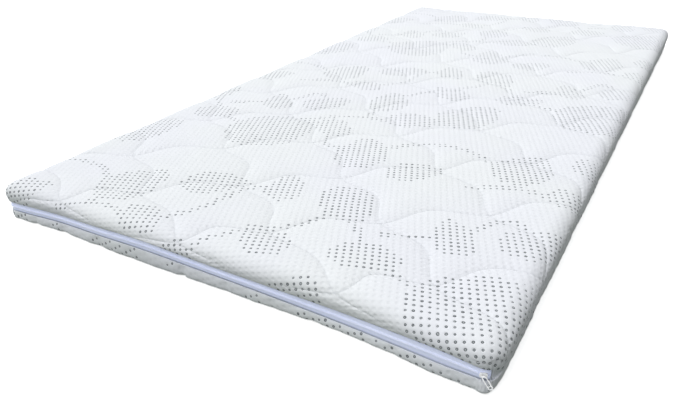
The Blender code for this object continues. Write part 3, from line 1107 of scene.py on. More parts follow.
    def roll_section(self, share: Points, nearest: Points, direction: Points) -> tuple[Points, Points]:
        """Reach and height on the roll, for a share of its cloth from the top (0) to the groove's lip (1).

        Args:
            share: shares of the roll's cloth, 0 at the top and 1 at the groove's lip.
            nearest: points of the straight middle.
            direction: directions out of it.

        Returns:
            The reaches and heights.
        """
        zipped = self.zip_share(direction)
        top = self.crown_height(nearest)
        lip_reach = mixed(self.seam_lip, self.roll_lip, zipped)
        zip_z, half = self.zip_edge(nearest, direction)
        lip_z = zip_z + half + self.lip_rise + self.roll_lip_lift * zipped
        upper = np.clip(share / self.upper_share, 0.0, 1.0) * math.pi / 2
        tuck = math.radians(self.tuck_deg)
        lower = np.clip((share - self.upper_share) / (1.0 - self.upper_share), 0.0, 1.0) * tuck
        middle_z = self.roll_middle_z
        inward = (self.roll_reach - lip_reach) / (1.0 - math.cos(tuck))
        reach = self.roll_reach * np.sin(upper) - inward * (1.0 - np.cos(lower))
        down = (middle_z - lip_z) / math.sin(tuck)
        height = middle_z + (top - middle_z) * np.cos(upper) - down * np.sin(lower)
        return reach, height

    def sunk_section(
        self, share: Points, nearest: Points, direction: Points, sink: Points
    ) -> tuple[Points, Points]:
        """Reach and height on the roll with the quilting pulled in square to it.

        Args:
            share: shares of the roll's cloth, 0 at the top and 1 at the groove's lip.
            nearest: points of the straight middle.
            direction: directions out of it.
            sink: how far it is pulled in.

        Returns:
            The reaches and heights.
        """
        reach, height = self.roll_section(share, nearest, direction)
        reach_next, height_next = self.roll_section(share + self.slope_step, nearest, direction)
        run, drop = reach_next - reach, height - height_next
        size = np.maximum(np.hypot(run, drop), 1e-9)
        kept = sink * (1.0 - smooth_step((share - self.quilt_run_out) / (1.0 - self.quilt_run_out)))
        on_roll = share > 0.0
        out_part = np.where(on_roll, drop / size, 0.0)
        up_part = np.where(on_roll, run / size, 1.0)
        return reach - kept * out_part, height - kept * up_part

    def pinched(self, cloth: Points) -> Points:
        """Depth of the small creases.

        Args:
            cloth: cloth points.

        Returns:
            The depths.
        """
        total = np.zeros(len(cloth))
        for x, y, end_x, end_y, half_width, depth in self.pinches:
            run = np.array([end_x - x, end_y - y])
            out = cloth - (x, y)
            share = np.clip(out @ run / (run @ run), 0.0, 1.0)
            away = np.hypot(*(out - share[:, None] * run).T)
            total += depth * np.exp(-((away / half_width) ** 2))
        return total

    def top(self, cloth: Points) -> Points:
        """Places on the quilted top and its roll.

        Args:
            cloth: cloth points.

        Returns:
            The places.
        """
        nearest, distance, direction = self.past_middle(cloth)
        share = np.clip(distance / self.roll_cloth, 0.0, 1.0)
        sink = self.quilting.sink(cloth) + self.pinched(cloth)
        reach, height = self.sunk_section(share, nearest, direction, sink)
        return self.laid(nearest, direction, reach, height)

    def notched(self, nearest: Points, direction: Points) -> tuple[Points, Points]:
        """Depth of the notches in the lower strip, and how far they lift its foot.

        Args:
            nearest: points of the straight middle.
            direction: directions out of it.

        Returns:
            The depths and lifts.
        """
        depth, lift = np.zeros(len(nearest)), np.zeros(len(nearest))
        front = smooth_step(-direction[:, 1])
        for x, half_width, deep, lifted in self.notches:
            near = front * np.exp(-(((nearest[:, 0] - x) / half_width) ** 2))
            depth += deep * near
            lift += lifted * near
        along = nearest[:, 0] + nearest[:, 1]
        waves = [np.sin(along * pace + start) for pace, start in self.strip_waves]
        depth += self.strip_ripple * (sum(waves) + len(waves)) / len(waves)
        return depth, lift

    def strip_curve(self, lip: Points, top: Points, sink: Points, lift: Points, pouch: Points) -> list:
        """Reach and height of the rows of the lower strip, on a smooth curve through its section.

        Args:
            lip: reach of its upper edge.
            top: height of its upper edge.
            sink: how far it is drawn in.
            lift: how far its foot is lifted.
            pouch: how far it pouches out.

        Returns:
            A reach and a height for each row, top to bottom.
        """
        knots = [(lip, top)]
        for height, reach, pouched in self.strip_section:
            knots.append((reach + pouch * pouched - sink, top * height + lift * (1.0 - height) ** 2))
        rows = curve_through(np.array(knots), self.strip_steps)[1:]
        return [(reach, np.maximum(height, 0.0)) for reach, height in rows]

    def side_rows(self, cloth: Points) -> tuple[Points, Points, Points]:
        """The rows from the lip of the roll down to the foot, at cloth points on or past the lip.

        Args:
            cloth: the cloth points.

        Returns:
            The rows' cloth distances, and their reaches and heights with a column for each point.
        """
        nearest, _, direction = self.past_middle(cloth)
        zipped = self.zip_share(direction)
        middle, half = self.zip_edge(nearest, direction)
        wall = mixed(self.seam_wall, self.zip_wall, zipped)
        lip = mixed(self.seam_lip, self.zip_lip, zipped)
        pulled = self.quilting.pulled_in(nearest + direction * self.roll_cloth)
        depth, lift = self.notched(nearest, direction)
        degrees = (degrees_of(direction) - self.corner_pouch_deg) / self.corner_pouch_spread_deg
        pouch = self.corner_pouch * np.exp(-(degrees**2))
        turn, rise = self.lip_turn, self.lip_rise
        roll_lip = mixed(self.seam_lip, self.roll_lip, zipped)
        high = middle + half + self.roll_lip_lift * zipped
        low = middle - half - self.lower_lip_drop * zipped
        rows = [
            (roll_lip, high + rise),
            (roll_lip - turn, high + self.lip_share * rise),
            (wall, high),
            (wall, low - self.pocket_drop * zipped),
            (lip - turn, low - self.lip_share * rise),
            (lip, low - rise),
        ]
        distances = [self.roll_cloth + number * self.lip_cloth for number in range(self.groove_steps + 1)]
        sink = self.strip_quilt_depth * pulled + depth
        for row in self.strip_curve(lip, low - rise, sink, self.foot_lift * pulled + lift, pouch):
            last = rows[-1]
            distances.append(distances[-1] + float(np.mean(np.hypot(row[0] - last[0], row[1] - last[1]))))
            rows.append(row)
        return np.array(distances), np.array([row[0] for row in rows]), np.array([row[1] for row in rows])

    def groove_span(self) -> Pair:
        """Cloth distances between which the cloth lies inside the groove."""
        return self.roll_cloth, self.roll_cloth + self.groove_steps * self.lip_cloth

    def place(self, cloth: Points) -> Points:
        """Places of any cloth points, on the top, the roll or the lower strip.

        Args:
            cloth: cloth points.

        Returns:
            The places.
        """
        places = self.top(cloth)
        nearest, distance, direction = self.past_middle(cloth)
        low = np.flatnonzero(distance > self.roll_cloth)
        if len(low):
            distances, reaches, heights = self.side_rows(cloth[low])
            at = np.clip(distance[low], distances[0], distances[-1])
            row = np.clip(np.searchsorted(distances, at, side="right") - 1, 0, len(distances) - 2)
            share = (at - distances[row]) / (distances[row + 1] - distances[row])
            column = np.arange(len(low))
            reach = mixed(reaches[row, column], reaches[row + 1, column], share)
            height = mixed(heights[row, column], heights[row + 1, column], share)
            places[low] = self.laid(nearest[low], direction[low], reach, height)
        return places

    def frames(self, cloth: Points, along: Points, step: float = 0.0012) -> Frames:
        """Frames on the cover at cloth points.

        Args:
            cloth: cloth points.
            along: the cloth direction of each frame's first axis.
            step: distance over which the slopes are measured.

        Returns:
            The frames, with their third axis out of the cloth.
        """
        along = unit(along)
        side = np.column_stack([-along[:, 1], along[:, 0]])
        first = unit(self.place(cloth + along * step) - self.place(cloth - along * step))
        second = self.place(cloth + side * step) - self.place(cloth - side * step)
        up = unit(np.cross(first, second))
        return Frames(self.place(cloth), first, np.cross(up, first), up)


# ---- The quilted cover ---------------------------------------------------------------------------------


@dataclass
class QuiltedCover:
    """The filled cover as one closed mesh, its faces lined up with the sewn lines."""

    form: CoverForm
    steps: int = 22
    crowding: float = 0.70
    snap: float = 0.00035
    base_shares: tuple = (0.0, 0.03, 0.10, 0.28, 0.50, 0.72, 0.90, 0.97)
    base_margin: float = 0.006
    base_channel: float = 0.0012
    weld: float = 1e-7
    fill: float = 0.85

    def shares(self) -> Points:
        """Steps along a diamond's side, closer together beside the sewn lines."""
        even = np.arange(self.steps) / self.steps
        return even - self.crowding * np.sin(FULL_TURN * even) / FULL_TURN

    def lattice_axis(self, shares: Points) -> Points:
        """Lattice numbers that span the whole cloth, along one of its families.

        Args:
            shares: steps between two whole numbers.

        Returns:
            The numbers, in order.
        """
        corner = self.form.middle + self.form.roll_cloth
        corners = np.array([corner, -corner, corner * (1, -1), corner * (-1, 1)])
        lattice = self.form.quilting.lattice_of(corners)
        whole = np.arange(math.floor(lattice.min()) - 1, math.ceil(lattice.max()) + 2)
        return (whole[:, None] + shares[None, :]).ravel()

    def net(self) -> tuple[Points, list]:
        """Lattice numbers and faces of the net before it is cut, finer on the roll.

        Returns:
            The net's points and faces.
        """
        axis = self.lattice_axis(self.shares())
        first, second = np.meshgrid(axis, axis, indexing="ij")
        lattice = np.column_stack([first.ravel(), second.ravel()])
        _, distance, _ = self.form.past_middle(self.form.quilting.cloth_of(lattice))
        index = np.arange(len(lattice)).reshape(len(axis), len(axis))
        corners = (index[:-1, :-1], index[1:, :-1], index[1:, 1:], index[:-1, 1:])
        quads = np.stack(corners, axis=-1).reshape(-1, 4)
        quads = quads[(distance[quads] < self.form.roll_cloth).any(axis=1)]
        bm = bmesh.new()
        used = np.unique(quads)
        verts = {number: bm.verts.new((*lattice[number], 0.0)) for number in used.tolist()}
        on_roll = set()
        for quad in quads.tolist():
            face = bm.faces.new([verts[number] for number in quad])
            if distance[quad].max() > 0.0:
                on_roll.update(face.edges)
        bmesh.ops.subdivide_edges(bm, edges=list(on_roll), cuts=1, use_grid_fill=True)
        bm.verts.index_update()
        points = np.array([vert.co[:2] for vert in bm.verts])
        faces = [[vert.index for vert in face.verts] for face in bm.faces]
        bm.free()
        return points, faces

    def cut_at_lip(self, cloth: Points, faces: list) -> tuple[Points, list]:
        """Cuts the net along the lip of the roll.

        Args:
            cloth: the net's cloth points.
            faces: its faces.

        Returns:
            The points, with new ones exactly on the lip, and the faces that are left.
        """
        lip = self.form.roll_cloth
        nearest, distance, direction = self.form.past_middle(cloth)
        beyond = distance - lip
        near = np.abs(beyond) < self.snap
        cloth = np.where(near[:, None], nearest + direction * lip, cloth)
        beyond = np.where(near, 0.0, beyond)
        points = cloth.tolist()
        outside = beyond.tolist()
        cuts: dict[tuple[int, int], int] = {}
        kept = []
        for face in faces:
            if min(outside[corner] for corner in face) >= 0.0:
                continue
            if max(outside[corner] for corner in face) <= 0.0:
                kept.append(face)
                continue
            left = []
            for corner, after in edges_of(face):
                if outside[corner] <= 0.0:
                    left.append(corner)
                if outside[corner] * outside[after] < 0.0:
                    key = (min(corner, after), max(corner, after))
                    if key not in cuts:
                        share = outside[corner] / (outside[corner] - outside[after])
                        place = mixed(np.array(points[corner]), np.array(points[after]), share)
                        middle, _, out = self.form.past_middle(place[None, :])
                        cuts[key] = len(points)
                        points.append((middle[0] + out[0] * lip).tolist())
                    left.append(cuts[key])
            if len(left) > 2:
                kept.append(left)
        used = sorted({corner for face in kept for corner in face})
        renumbered = {number: place for place, number in enumerate(used)}
        return np.array(points)[used], [[renumbered[corner] for corner in face] for face in kept]

    @staticmethod
    def edge_loop(faces: list) -> list[int]:
        """The open edge of a net of faces, in order.

        Args:
            faces: the faces.

        Returns:
            The edge's corners.
        """
        ahead = dict.fromkeys(pair for face in faces for pair in edges_of(face))
        follow = {corner: after for corner, after in ahead if (after, corner) not in ahead}
        start = next(iter(follow))
        loop = [start]
        while follow[loop[-1]] != start:
            loop.append(follow[loop[-1]])
        if len(loop) != len(follow):
            raise ValueError("the lip of the net is not one loop")
        return loop

    def base(self, foot: Points) -> tuple[Points, Points, list]:
        """Net of the flat base inside the foot's outline.

        Args:
            foot: plan points of the foot, in order.

        Returns:
            The new plan points, their heights, and faces that count the foot's points first.
        """
        axis = self.lattice_axis(np.array(self.base_shares))
        first, second = np.meshgrid(axis, axis, indexing="ij")
        inner = self.form.quilting.cloth_of(np.column_stack([first.ravel(), second.ravel()]))
        _, distance, _ = self.form.past_middle(inner)
        inner = inner[distance < self.form.strip_section[-1][1] - self.base_margin]
        inner[:, 1] = self.form.laid(inner, np.zeros_like(inner), 0.0, np.zeros(len(inner)))[:, 1]
        flat = [Vector(point) for point in np.vstack([foot, inner])]
        net, _, triangles, origins, _, _ = delaunay_2d_cdt(flat, [], [list(range(len(foot)))], 1, self.weld)
        source = [min(origin) if origin else -1 for origin in origins]
        new = [number for number, origin in enumerate(source) if not 0 <= origin < len(foot)]
        numbers = {number: origin for number, origin in enumerate(source) if 0 <= origin < len(foot)}
        numbers.update({number: len(foot) + place for place, number in enumerate(new)})
        points = np.array([net[number][:2] for number in new])
        heights = self.base_channel * self.form.quilting.pulled_in(points)
        return points, heights, [[numbers[corner] for corner in reversed(face)] for face in triangles]

    def build(self, material: bpy.types.Material) -> tuple[bpy.types.Object, BVHTree]:
        """Makes the cover.

        Args:
            material: the knit.

        Returns:
            The object, and a search tree of its surface.
        """
        lattice, faces = self.net()
        cloth, faces = self.cut_at_lip(self.form.quilting.cloth_of(lattice), faces)
        places = self.form.top(cloth)
        loop = self.edge_loop(faces)
        lip_cloth = cloth[loop]
        nearest, _, direction = self.form.past_middle(lip_cloth)
        distances, reaches, heights = self.form.side_rows(lip_cloth)
        rows = [places]
        flat_rows = [cloth]
        above = loop
        count = len(places)
        for distance, reach, height in zip(distances[1:], reaches[1:], heights[1:]):
            rows.append(self.form.laid(nearest, direction, reach, height))
            flat_rows.append(nearest + direction * distance)
            below = list(range(count, count + len(loop)))
            for (upper, upper_next), (lower, lower_next) in zip(edges_of(above), edges_of(below)):
                faces.append([upper, lower, lower_next, upper_next])
            above = below
            count += len(loop)
        foot = rows[-1][:, :2]
        points, lifts, base_faces = self.base(foot)
        rows.append(np.column_stack([points, lifts]))
        side_faces = len(faces)
        first_foot = count - len(loop)
        faces.extend([first_foot + corner for corner in face] for face in base_faces)

        verts = np.vstack(rows)
        map_cloth = np.vstack([*flat_rows, points])
        lattice_top = self.form.quilting.lattice_of(cloth)
        lattice_side = np.tile(lattice_top[loop], (len(rows) - 2, 1))
        map_lattice = np.vstack([lattice_top, lattice_side, self.form.quilting.lattice_of(points)])
        corners = np.array([corner for face in faces for corner in face])
        is_base = np.repeat(np.arange(len(faces)) >= side_faces, [len(face) for face in faces])
        cloth_corners = np.where(is_base[:, None], verts[corners][:, :2], map_cloth[corners])
        piece = Piece("quilted_cover", verts, faces)
        piece.corner_maps = {"cloth": cloth_corners, "sewn_lines": map_lattice[corners]}
        obj = piece.finished(material, Slot.KNIT, sharp_deg=75.0)
        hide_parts("filled_cover")
        return obj, BVHTree.FromPolygons(verts.tolist(), faces)


# ---- What is knitted into and sewn on the cover --------------------------------------------------------


@dataclass(frozen=True)
class LeafPattern:
    """Leaves on winding stems, in one repeat that is laid out over the cloth with a half drop."""

    tile: Pair = (0.640, 0.840)
    origin: Pair = (0.300, -1.065)
    leaves: tuple = (
        # x, y, length, width, turn in degrees
        (0.147, 0.133, 0.225, 0.185, 60.0),
        (0.045, 0.300, 0.120, 0.075, 118.0),
        (0.165, 0.345, 0.130, 0.086, 48.0),
        (0.270, 0.205, 0.120, 0.076, -38.0),
        (0.300, 0.430, 0.145, 0.100, 98.0),
        (0.410, 0.330, 0.140, 0.088, 12.0),
        (0.395, 0.110, 0.160, 0.112, 104.0),
        (0.530, 0.075, 0.125, 0.082, 40.0),
        (0.520, 0.420, 0.185, 0.128, 66.0),
        (0.415, 0.560, 0.118, 0.078, 150.0),
        (0.590, 0.590, 0.125, 0.080, 20.0),
        (0.190, 0.520, 0.108, 0.070, -20.0),
        (0.075, 0.610, 0.160, 0.115, 74.0),
        (0.215, 0.690, 0.142, 0.092, 30.0),
        (0.345, 0.740, 0.112, 0.076, 110.0),
        (0.480, 0.735, 0.150, 0.105, -52.0),
    )
    stems: tuple = (
        # points on each stem, as x and y
        ((0.130, 0.125), (0.210, 0.250), (0.300, 0.300), (0.380, 0.300), (0.470, 0.330), (0.520, 0.420)),
        ((0.300, 0.300), (0.300, 0.430), (0.350, 0.540), (0.450, 0.640), (0.480, 0.735)),
        ((0.395, 0.110), (0.450, 0.170), (0.500, 0.215), (0.600, 0.215), (0.680, 0.160)),
        ((0.000, 0.480), (0.080, 0.520), (0.190, 0.520), (0.260, 0.600), (0.280, 0.700), (0.345, 0.740)),
        ((0.480, 0.735), (0.540, 0.660), (0.590, 0.590), (0.680, 0.560)),
        ((-0.060, 0.245), (0.045, 0.300), (0.110, 0.400), (0.165, 0.345)),
        ((0.210, 0.250), (0.270, 0.205), (0.300, 0.120), (0.395, 0.110)),
    )
    leaf_fullness: float = 0.62
    leaf_taper: float = 0.28
    stem_half: float = 0.0082
    stem_steps: int = 6
    strip_start_y: float = -1.030
    strip_runs: tuple = (
        # a run of dots on the lower strip of the short end: x, y, x and y at its ends, half width
        (-0.500, -1.0430, -0.440, -1.0450, 0.0110),
        (-0.360, -1.0440, -0.346, -1.0420, 0.0065),
        (-0.245, -1.0390, -0.150, -1.0440, 0.0150),
        (-0.070, -1.0450, -0.056, -1.0410, 0.0065),
        (0.098, -1.0440, 0.118, -1.0420, 0.0085),
        (0.195, -1.0480, 0.300, -1.0400, 0.0078),
        (0.320, -1.0400, 0.460, -1.0520, 0.0078),
    )

    def leaf(self, points: Points, row: tuple) -> Points:
        """Which points lie on one leaf.

        Args:
            points: cloth points.
            row: the leaf's row of sizes.

        Returns:
            True for each point on it.
        """
        x, y, length, width, turn = row
        local = (points - (x, y)) @ turned(math.radians(turn))
        along = local[:, 0] / (length / 2)
        outline = np.clip(1.0 - along**2, 0.0, 1.0) ** self.leaf_fullness
        half = width / 2 * outline * (1.0 - self.leaf_taper * along)
        return (np.abs(along) < 1.0) & (np.abs(local[:, 1]) < half)

    @staticmethod
    def run(points: Points, start: Points, end: Points, half: float) -> Points:
        """Which points lie within half a width of a straight run.

        Args:
            points: cloth points.
            start: where the run starts.
            end: where it ends.
            half: half its width.

        Returns:
            True for each point on it.
        """
        along = end - start
        share = np.clip((points - start) @ along / (along @ along), 0.0, 1.0)
        away = points - (start + share[:, None] * along)
        return np.hypot(away[:, 0], away[:, 1]) < half

    def covers(self, cloth: Points) -> Points:
        """Which cloth points lie on a leaf, a stem or a run on the strip.

        Args:
            cloth: cloth points.

        Returns:
            True for each point that has a dot.
        """
        wide, high = self.tile
        curves = [curve_through(np.array(path), self.stem_steps) for path in self.stems]
        found = np.zeros(len(cloth), bool)
        local = cloth - self.origin
        column = np.floor(local[:, 0] / wide)
        for shift_x in (-1, 0, 1):
            x = local[:, 0] - (column + shift_x) * wide
            y = (local[:, 1] - (column + shift_x) * high / 2) % high
            for shift_y in (-1, 0, 1):
                points = np.column_stack([x, y - shift_y * high])
                for row in self.leaves:
                    found |= self.leaf(points, row)
                for curve in curves:
                    for start, end in zip(curve, curve[1:]):
                        found |= self.run(points, start, end, self.stem_half)
        found &= cloth[:, 1] > self.strip_start_y
        for x, y, end_x, end_y, half in self.strip_runs:
            found |= self.run(cloth, np.array([x, y]), np.array([end_x, end_y]), half)
        return found


@dataclass
class KnitDots:
    """The grey dots that draw the leaves, each a small flat ring of yarn on the cover."""

    form: CoverForm
    net: DotNet
    pattern: LeafPattern
    radius: float = 0.00222
    uneven: float = 0.10
    segments: int = 8
    clear_of_lip: float = 0.0012
    rings: tuple = (
        # share of the radius, height above the cloth
        (1.00, 0.00003),
        (0.66, 0.00022),
    )
    middle_height: float = 0.00008
    rows_above_foot: int = 4
    seed: int = 11

    def shape(self) -> tuple[Points, list]:
        """One dot, as (along, side, up) rows in shares of its radius, and its faces.

        Returns:
            The rows and the faces.
        """
        verts = [(0.0, 0.0, self.middle_height)]
        for share, height in self.rings:
            for step in range(self.segments):
                angle = FULL_TURN * step / self.segments
                verts.append((share * math.cos(angle), share * math.sin(angle), height))
        inner = list(range(len(verts) - self.segments, len(verts)))
        faces = ring_faces(len(self.rings), self.segments, first=1)
        faces.extend([0, corner, after] for corner, after in edges_of(inner))
        return np.array(verts), faces

    def places(self) -> Points:
        """Cloth points of all dots that show.

        Returns:
            The cloth points.
        """
        middle = self.form.middle
        distances, _, _ = self.form.side_rows(np.array([[0.0, -self.form.length]]))
        reach = distances[-self.rows_above_foot]
        cloth = self.net.places(*(middle + reach))
        _, distance, _ = self.form.past_middle(cloth)
        inner, outer = self.form.groove_span()
        margin = self.clear_of_lip
        shown = (distance < inner - margin) | ((distance > outer + margin) & (distance < reach))
        cloth = cloth[shown]
        return cloth[self.pattern.covers(cloth)]

    def build(self, material: bpy.types.Material, surface: BVHTree) -> bpy.types.Object:
        """Makes all the dots as one piece, laid on the cover's surface.

        Args:
            material: its finish.
            surface: search tree of the cover's surface.

        Returns:
            The object.
        """
        cloth = self.places()
        rng = np.random.default_rng(self.seed)
        seeds = rng.random(len(cloth))
        sizes = self.radius * (1.0 + self.uneven * rng.standard_normal(len(cloth)).clip(-2.0, 2.0))
        frames = self.form.frames(cloth, np.tile(self.net.first, (len(cloth), 1)))
        verts, faces = self.shape()
        piece = frames.copies("knit_dots", np.column_stack([verts[:, :2], np.zeros(len(verts))]), faces)
        centre = np.repeat(frames.place, len(verts), axis=0)
        spread = centre + (piece.verts - centre) * np.repeat(sizes, len(verts))[:, None]
        heights = np.tile(verts[:, 2], len(cloth))
        laid = []
        for place, height in zip(spread.tolist(), heights.tolist()):
            found, normal, _, _ = surface.find_nearest(place)
            laid.append(found + normal * height)
        piece.verts = np.array(laid)
        piece.values["seed"] = np.repeat(seeds, len(verts))
        flat = np.tile(verts[:, :2], (len(cloth), 1)) * self.radius + np.repeat(cloth, len(verts), axis=0)
        piece.maps["cloth"] = flat
        return piece.finished(material, Slot.KNIT, sharp_deg=80.0)


class Family(Enum):
    """The two mirrored families of sewn lines."""

    FALLING = 0
    RISING = 1


@dataclass
class QuiltStitches:
    """Lockstitches of white thread along every sewn line of the top."""

    form: CoverForm
    stitches_per_side: int = 46
    length_share: float = 0.86
    radius: float = 0.00028
    rise: float = 0.00026
    dip: float = 0.00025
    margin: float = 0.004
    rings: tuple = (
        # share of half its length from its middle, share of its rise
        (-0.72, 0.75),
        (0.00, 1.00),
        (0.72, 0.75),
    )
    lines_each_way: int = 16

    def shape(self, pitch: float) -> tuple[Points, list]:
        """One stitch, as a four-sided spindle that dips into the cloth at its ends.

        Args:
            pitch: length from one stitch to the next.

        Returns:
            Its places and faces.
        """
        half = pitch * self.length_share / 2
        sides = len(QUARTERS)
        verts = [(-half, 0.0, -self.dip)]
        for share, height in self.rings:
            for across, up in QUARTERS:
                verts.append((share * half, across * self.radius, self.rise * height + up * self.radius))
        verts.append((half, 0.0, -self.dip))
        tip = len(verts) - 1
        faces = ring_faces(len(self.rings), sides, first=1)
        faces.extend([0, after, corner] for corner, after in edges_of(list(range(1, 1 + sides))))
        faces.extend([tip, corner, after] for corner, after in edges_of(list(range(tip - sides, tip))))
        return np.array(verts), faces

    def line(self, family: Family, number: int) -> tuple[Points, Points]:
        """Cloth points and directions of the stitches on one sewn line.

        Args:
            family: the line's family.
            number: its whole number.

        Returns:
            The points and directions.
        """
        reach = self.lines_each_way * self.stitches_per_side
        along = (np.arange(-reach, reach) + 0.5) / self.stitches_per_side
        lattice = np.full((len(along), 2), float(number))
        lattice[:, family.value] = along
        step = np.zeros(2)
        step[family.value] = 0.5 / self.stitches_per_side
        cloth = self.form.quilting.cloth_of(lattice)
        ahead = self.form.quilting.cloth_of(lattice + step) - self.form.quilting.cloth_of(lattice - step)
        _, distance, _ = self.form.past_middle(cloth)
        shown = distance < self.form.roll_cloth - self.margin
        return cloth[shown], ahead[shown]

    def build(self, material: bpy.types.Material) -> bpy.types.Object:
        """Makes all the stitches as one piece.

        Args:
            material: its finish.

        Returns:
            The object.
        """
        numbers = range(-self.lines_each_way, self.lines_each_way + 1)
        runs = [self.line(family, number) for family in Family for number in numbers]
        cloth, ahead = (np.vstack(part) for part in zip(*runs))
        pitch = float(np.median(np.hypot(ahead[:, 0], ahead[:, 1])))
        frames = self.form.frames(cloth, ahead)
        verts, faces = self.shape(pitch)
        return frames.copies("quilting_thread", verts, faces).finished(material, Slot.KNIT, sharp_deg=80.0)


# ---- The zip -------------------------------------------------------------------------------------------


@dataclass
class ZipLine:
    """The line that the zip follows round the topper, measured along its length."""

    form: CoverForm
    reach: float = 0.0239
    spacing: float = 0.0022

    def __post_init__(self) -> None:
        """Lays out the line from the front right corner, by the short end and the left side, to the back."""
        x, y = self.form.middle
        start, end = self.form.zip_start_deg, self.form.zip_end_deg
        stops = np.array(
            [
                # point of the straight middle, direction out of it in degrees
                (x, -y, start),
                (x, -y, 270.0),
                (-x, -y, 270.0),
                (-x, -y, 180.0),
                (-x, y, 180.0),
                (-x, y, end),
            ]
        )
        rows = [stops[:1]]
        for here, there in zip(stops, stops[1:]):
            run = math.dist(here[:2], there[:2]) + abs(math.radians(there[2] - here[2])) * self.reach
            steps = max(1, round(run / self.spacing))
            rows.append(mixed(here, there, np.arange(1, steps + 1)[:, None] / steps))
        self.rows = np.vstack(rows)
        nearest, degrees = self.rows[:, :2], self.rows[:, 2]
        places = self.form.laid(nearest, self.direction(degrees), self.reach, np.zeros(len(nearest)))
        runs = np.hypot(*np.diff(places[:, :2], axis=0).T)
        self.marks = np.concatenate([[0.0], np.cumsum(runs)])

    @staticmethod
    def direction(degrees: Points) -> Points:
        """Plan directions of angles."""
        return np.column_stack([np.cos(np.radians(degrees)), np.sin(np.radians(degrees))])

    @property
    def length(self) -> float:
        """Length of the zip."""
        return float(self.marks[-1])

    def mark_at(self, degrees: float) -> float:
        """Length from the start to a direction on the front right corner."""
        return math.radians(self.form.zip_start_deg - degrees) * self.reach

    def frames(self, marks: Points, out: Points, share: float = 0.0) -> Frames:
        """Frames on the zip: along it, up, and out of the topper.

        Args:
            marks: lengths along the zip.
            out: distances from the straight middle of the top.
            share: height above the middle of the zip, as a share of half the groove's height.

        Returns:
            The frames.
        """
        x, y, degrees = (np.interp(marks, self.marks, column) for column in self.rows.T)
        nearest, direction = np.column_stack([x, y]), self.direction(degrees)
        height, half = self.form.zip_edge(nearest, direction)
        place = self.form.laid(nearest, direction, out, height + share * half)
        outward = np.column_stack([direction, np.zeros(len(marks))])
        upright = np.tile((0.0, 0.0, 1.0), (len(marks), 1))
        return Frames(place, np.cross(upright, outward), upright, outward)


class Half(Enum):
    """The two halves of the zip, above and below its middle, with the sign of their heights."""

    UPPER = 1.0
    LOWER = -1.0


LEANING_TAPE = (
    # the lower tape leans back into the pocket behind the lip of the strip
    (0.05, 0.0001),
    (0.18, 0.0000),
    (0.33, 0.0002),
    (0.48, 0.0005),
    (0.64, 0.0008),
    (0.80, 0.0011),
    (0.96, 0.0014),
    (1.12, 0.0016),
    (1.28, 0.0018),
    (1.42, 0.0021),
)


@dataclass
class ZipTape:
    """One of the two woven tapes, with its hem sewn in behind the cover's lip."""

    line: ZipLine
    name: str
    node: str
    half: Half
    thickness: float = 0.0007
    front: float = 0.02490
    section: tuple = (
        # height from the zip's middle as a share of half the groove, distance back from the tape's front
        (0.05, 0.0001),
        (0.18, 0.0000),
        (0.33, 0.0001),
        (0.48, 0.0002),
        (0.62, 0.0003),
        (0.76, 0.0003),
        (0.89, 0.0005),
        (0.99, 0.0010),
        (1.06, 0.0022),
        (1.10, 0.0036),
    )
    mean_half: float = 0.0083
    ripple: float = 0.00022
    ripple_pitch: float = 0.047
    slow_ripple: float = 41.0

    def build(self, material: bpy.types.Material) -> bpy.types.Object:
        """Makes the tape as one closed strip along the zip.

        Args:
            material: its finish.

        Returns:
            The object.
        """
        marks = self.line.marks
        sign = self.half.value
        wave = np.sin(marks * FULL_TURN / self.ripple_pitch + sign)
        ripple = self.ripple * (wave + np.sin(marks * self.slow_ripple + 2.0 * sign)) / 2.0
        shares, backs = np.array(self.section).T
        runs = np.hypot(np.diff(shares) * self.mean_half, np.diff(backs))
        widths = np.concatenate([[0.0], np.cumsum(runs)])
        loop = list(zip(shares, backs, widths))
        loop += [(share, back + self.thickness, width) for share, back, width in reversed(loop)]
        columns = []
        for share, back, _ in loop:
            out = self.front - back + ripple * math.sin(math.pi * min(1.0, share))
            columns.append(self.line.frames(marks, out, sign * share).place)
        verts = np.stack(columns, axis=1).reshape(-1, 3)
        piece = Piece(self.name, verts, tube_faces(len(marks), len(loop), self.half is Half.LOWER))
        across = [width for _, _, width in loop]
        piece.maps["cloth"] = np.column_stack([np.repeat(marks, len(loop)), np.tile(across, len(marks))])
        obj = piece.finished(material, Slot.TAPE, sharp_deg=50.0)
        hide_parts(self.node)
        return obj


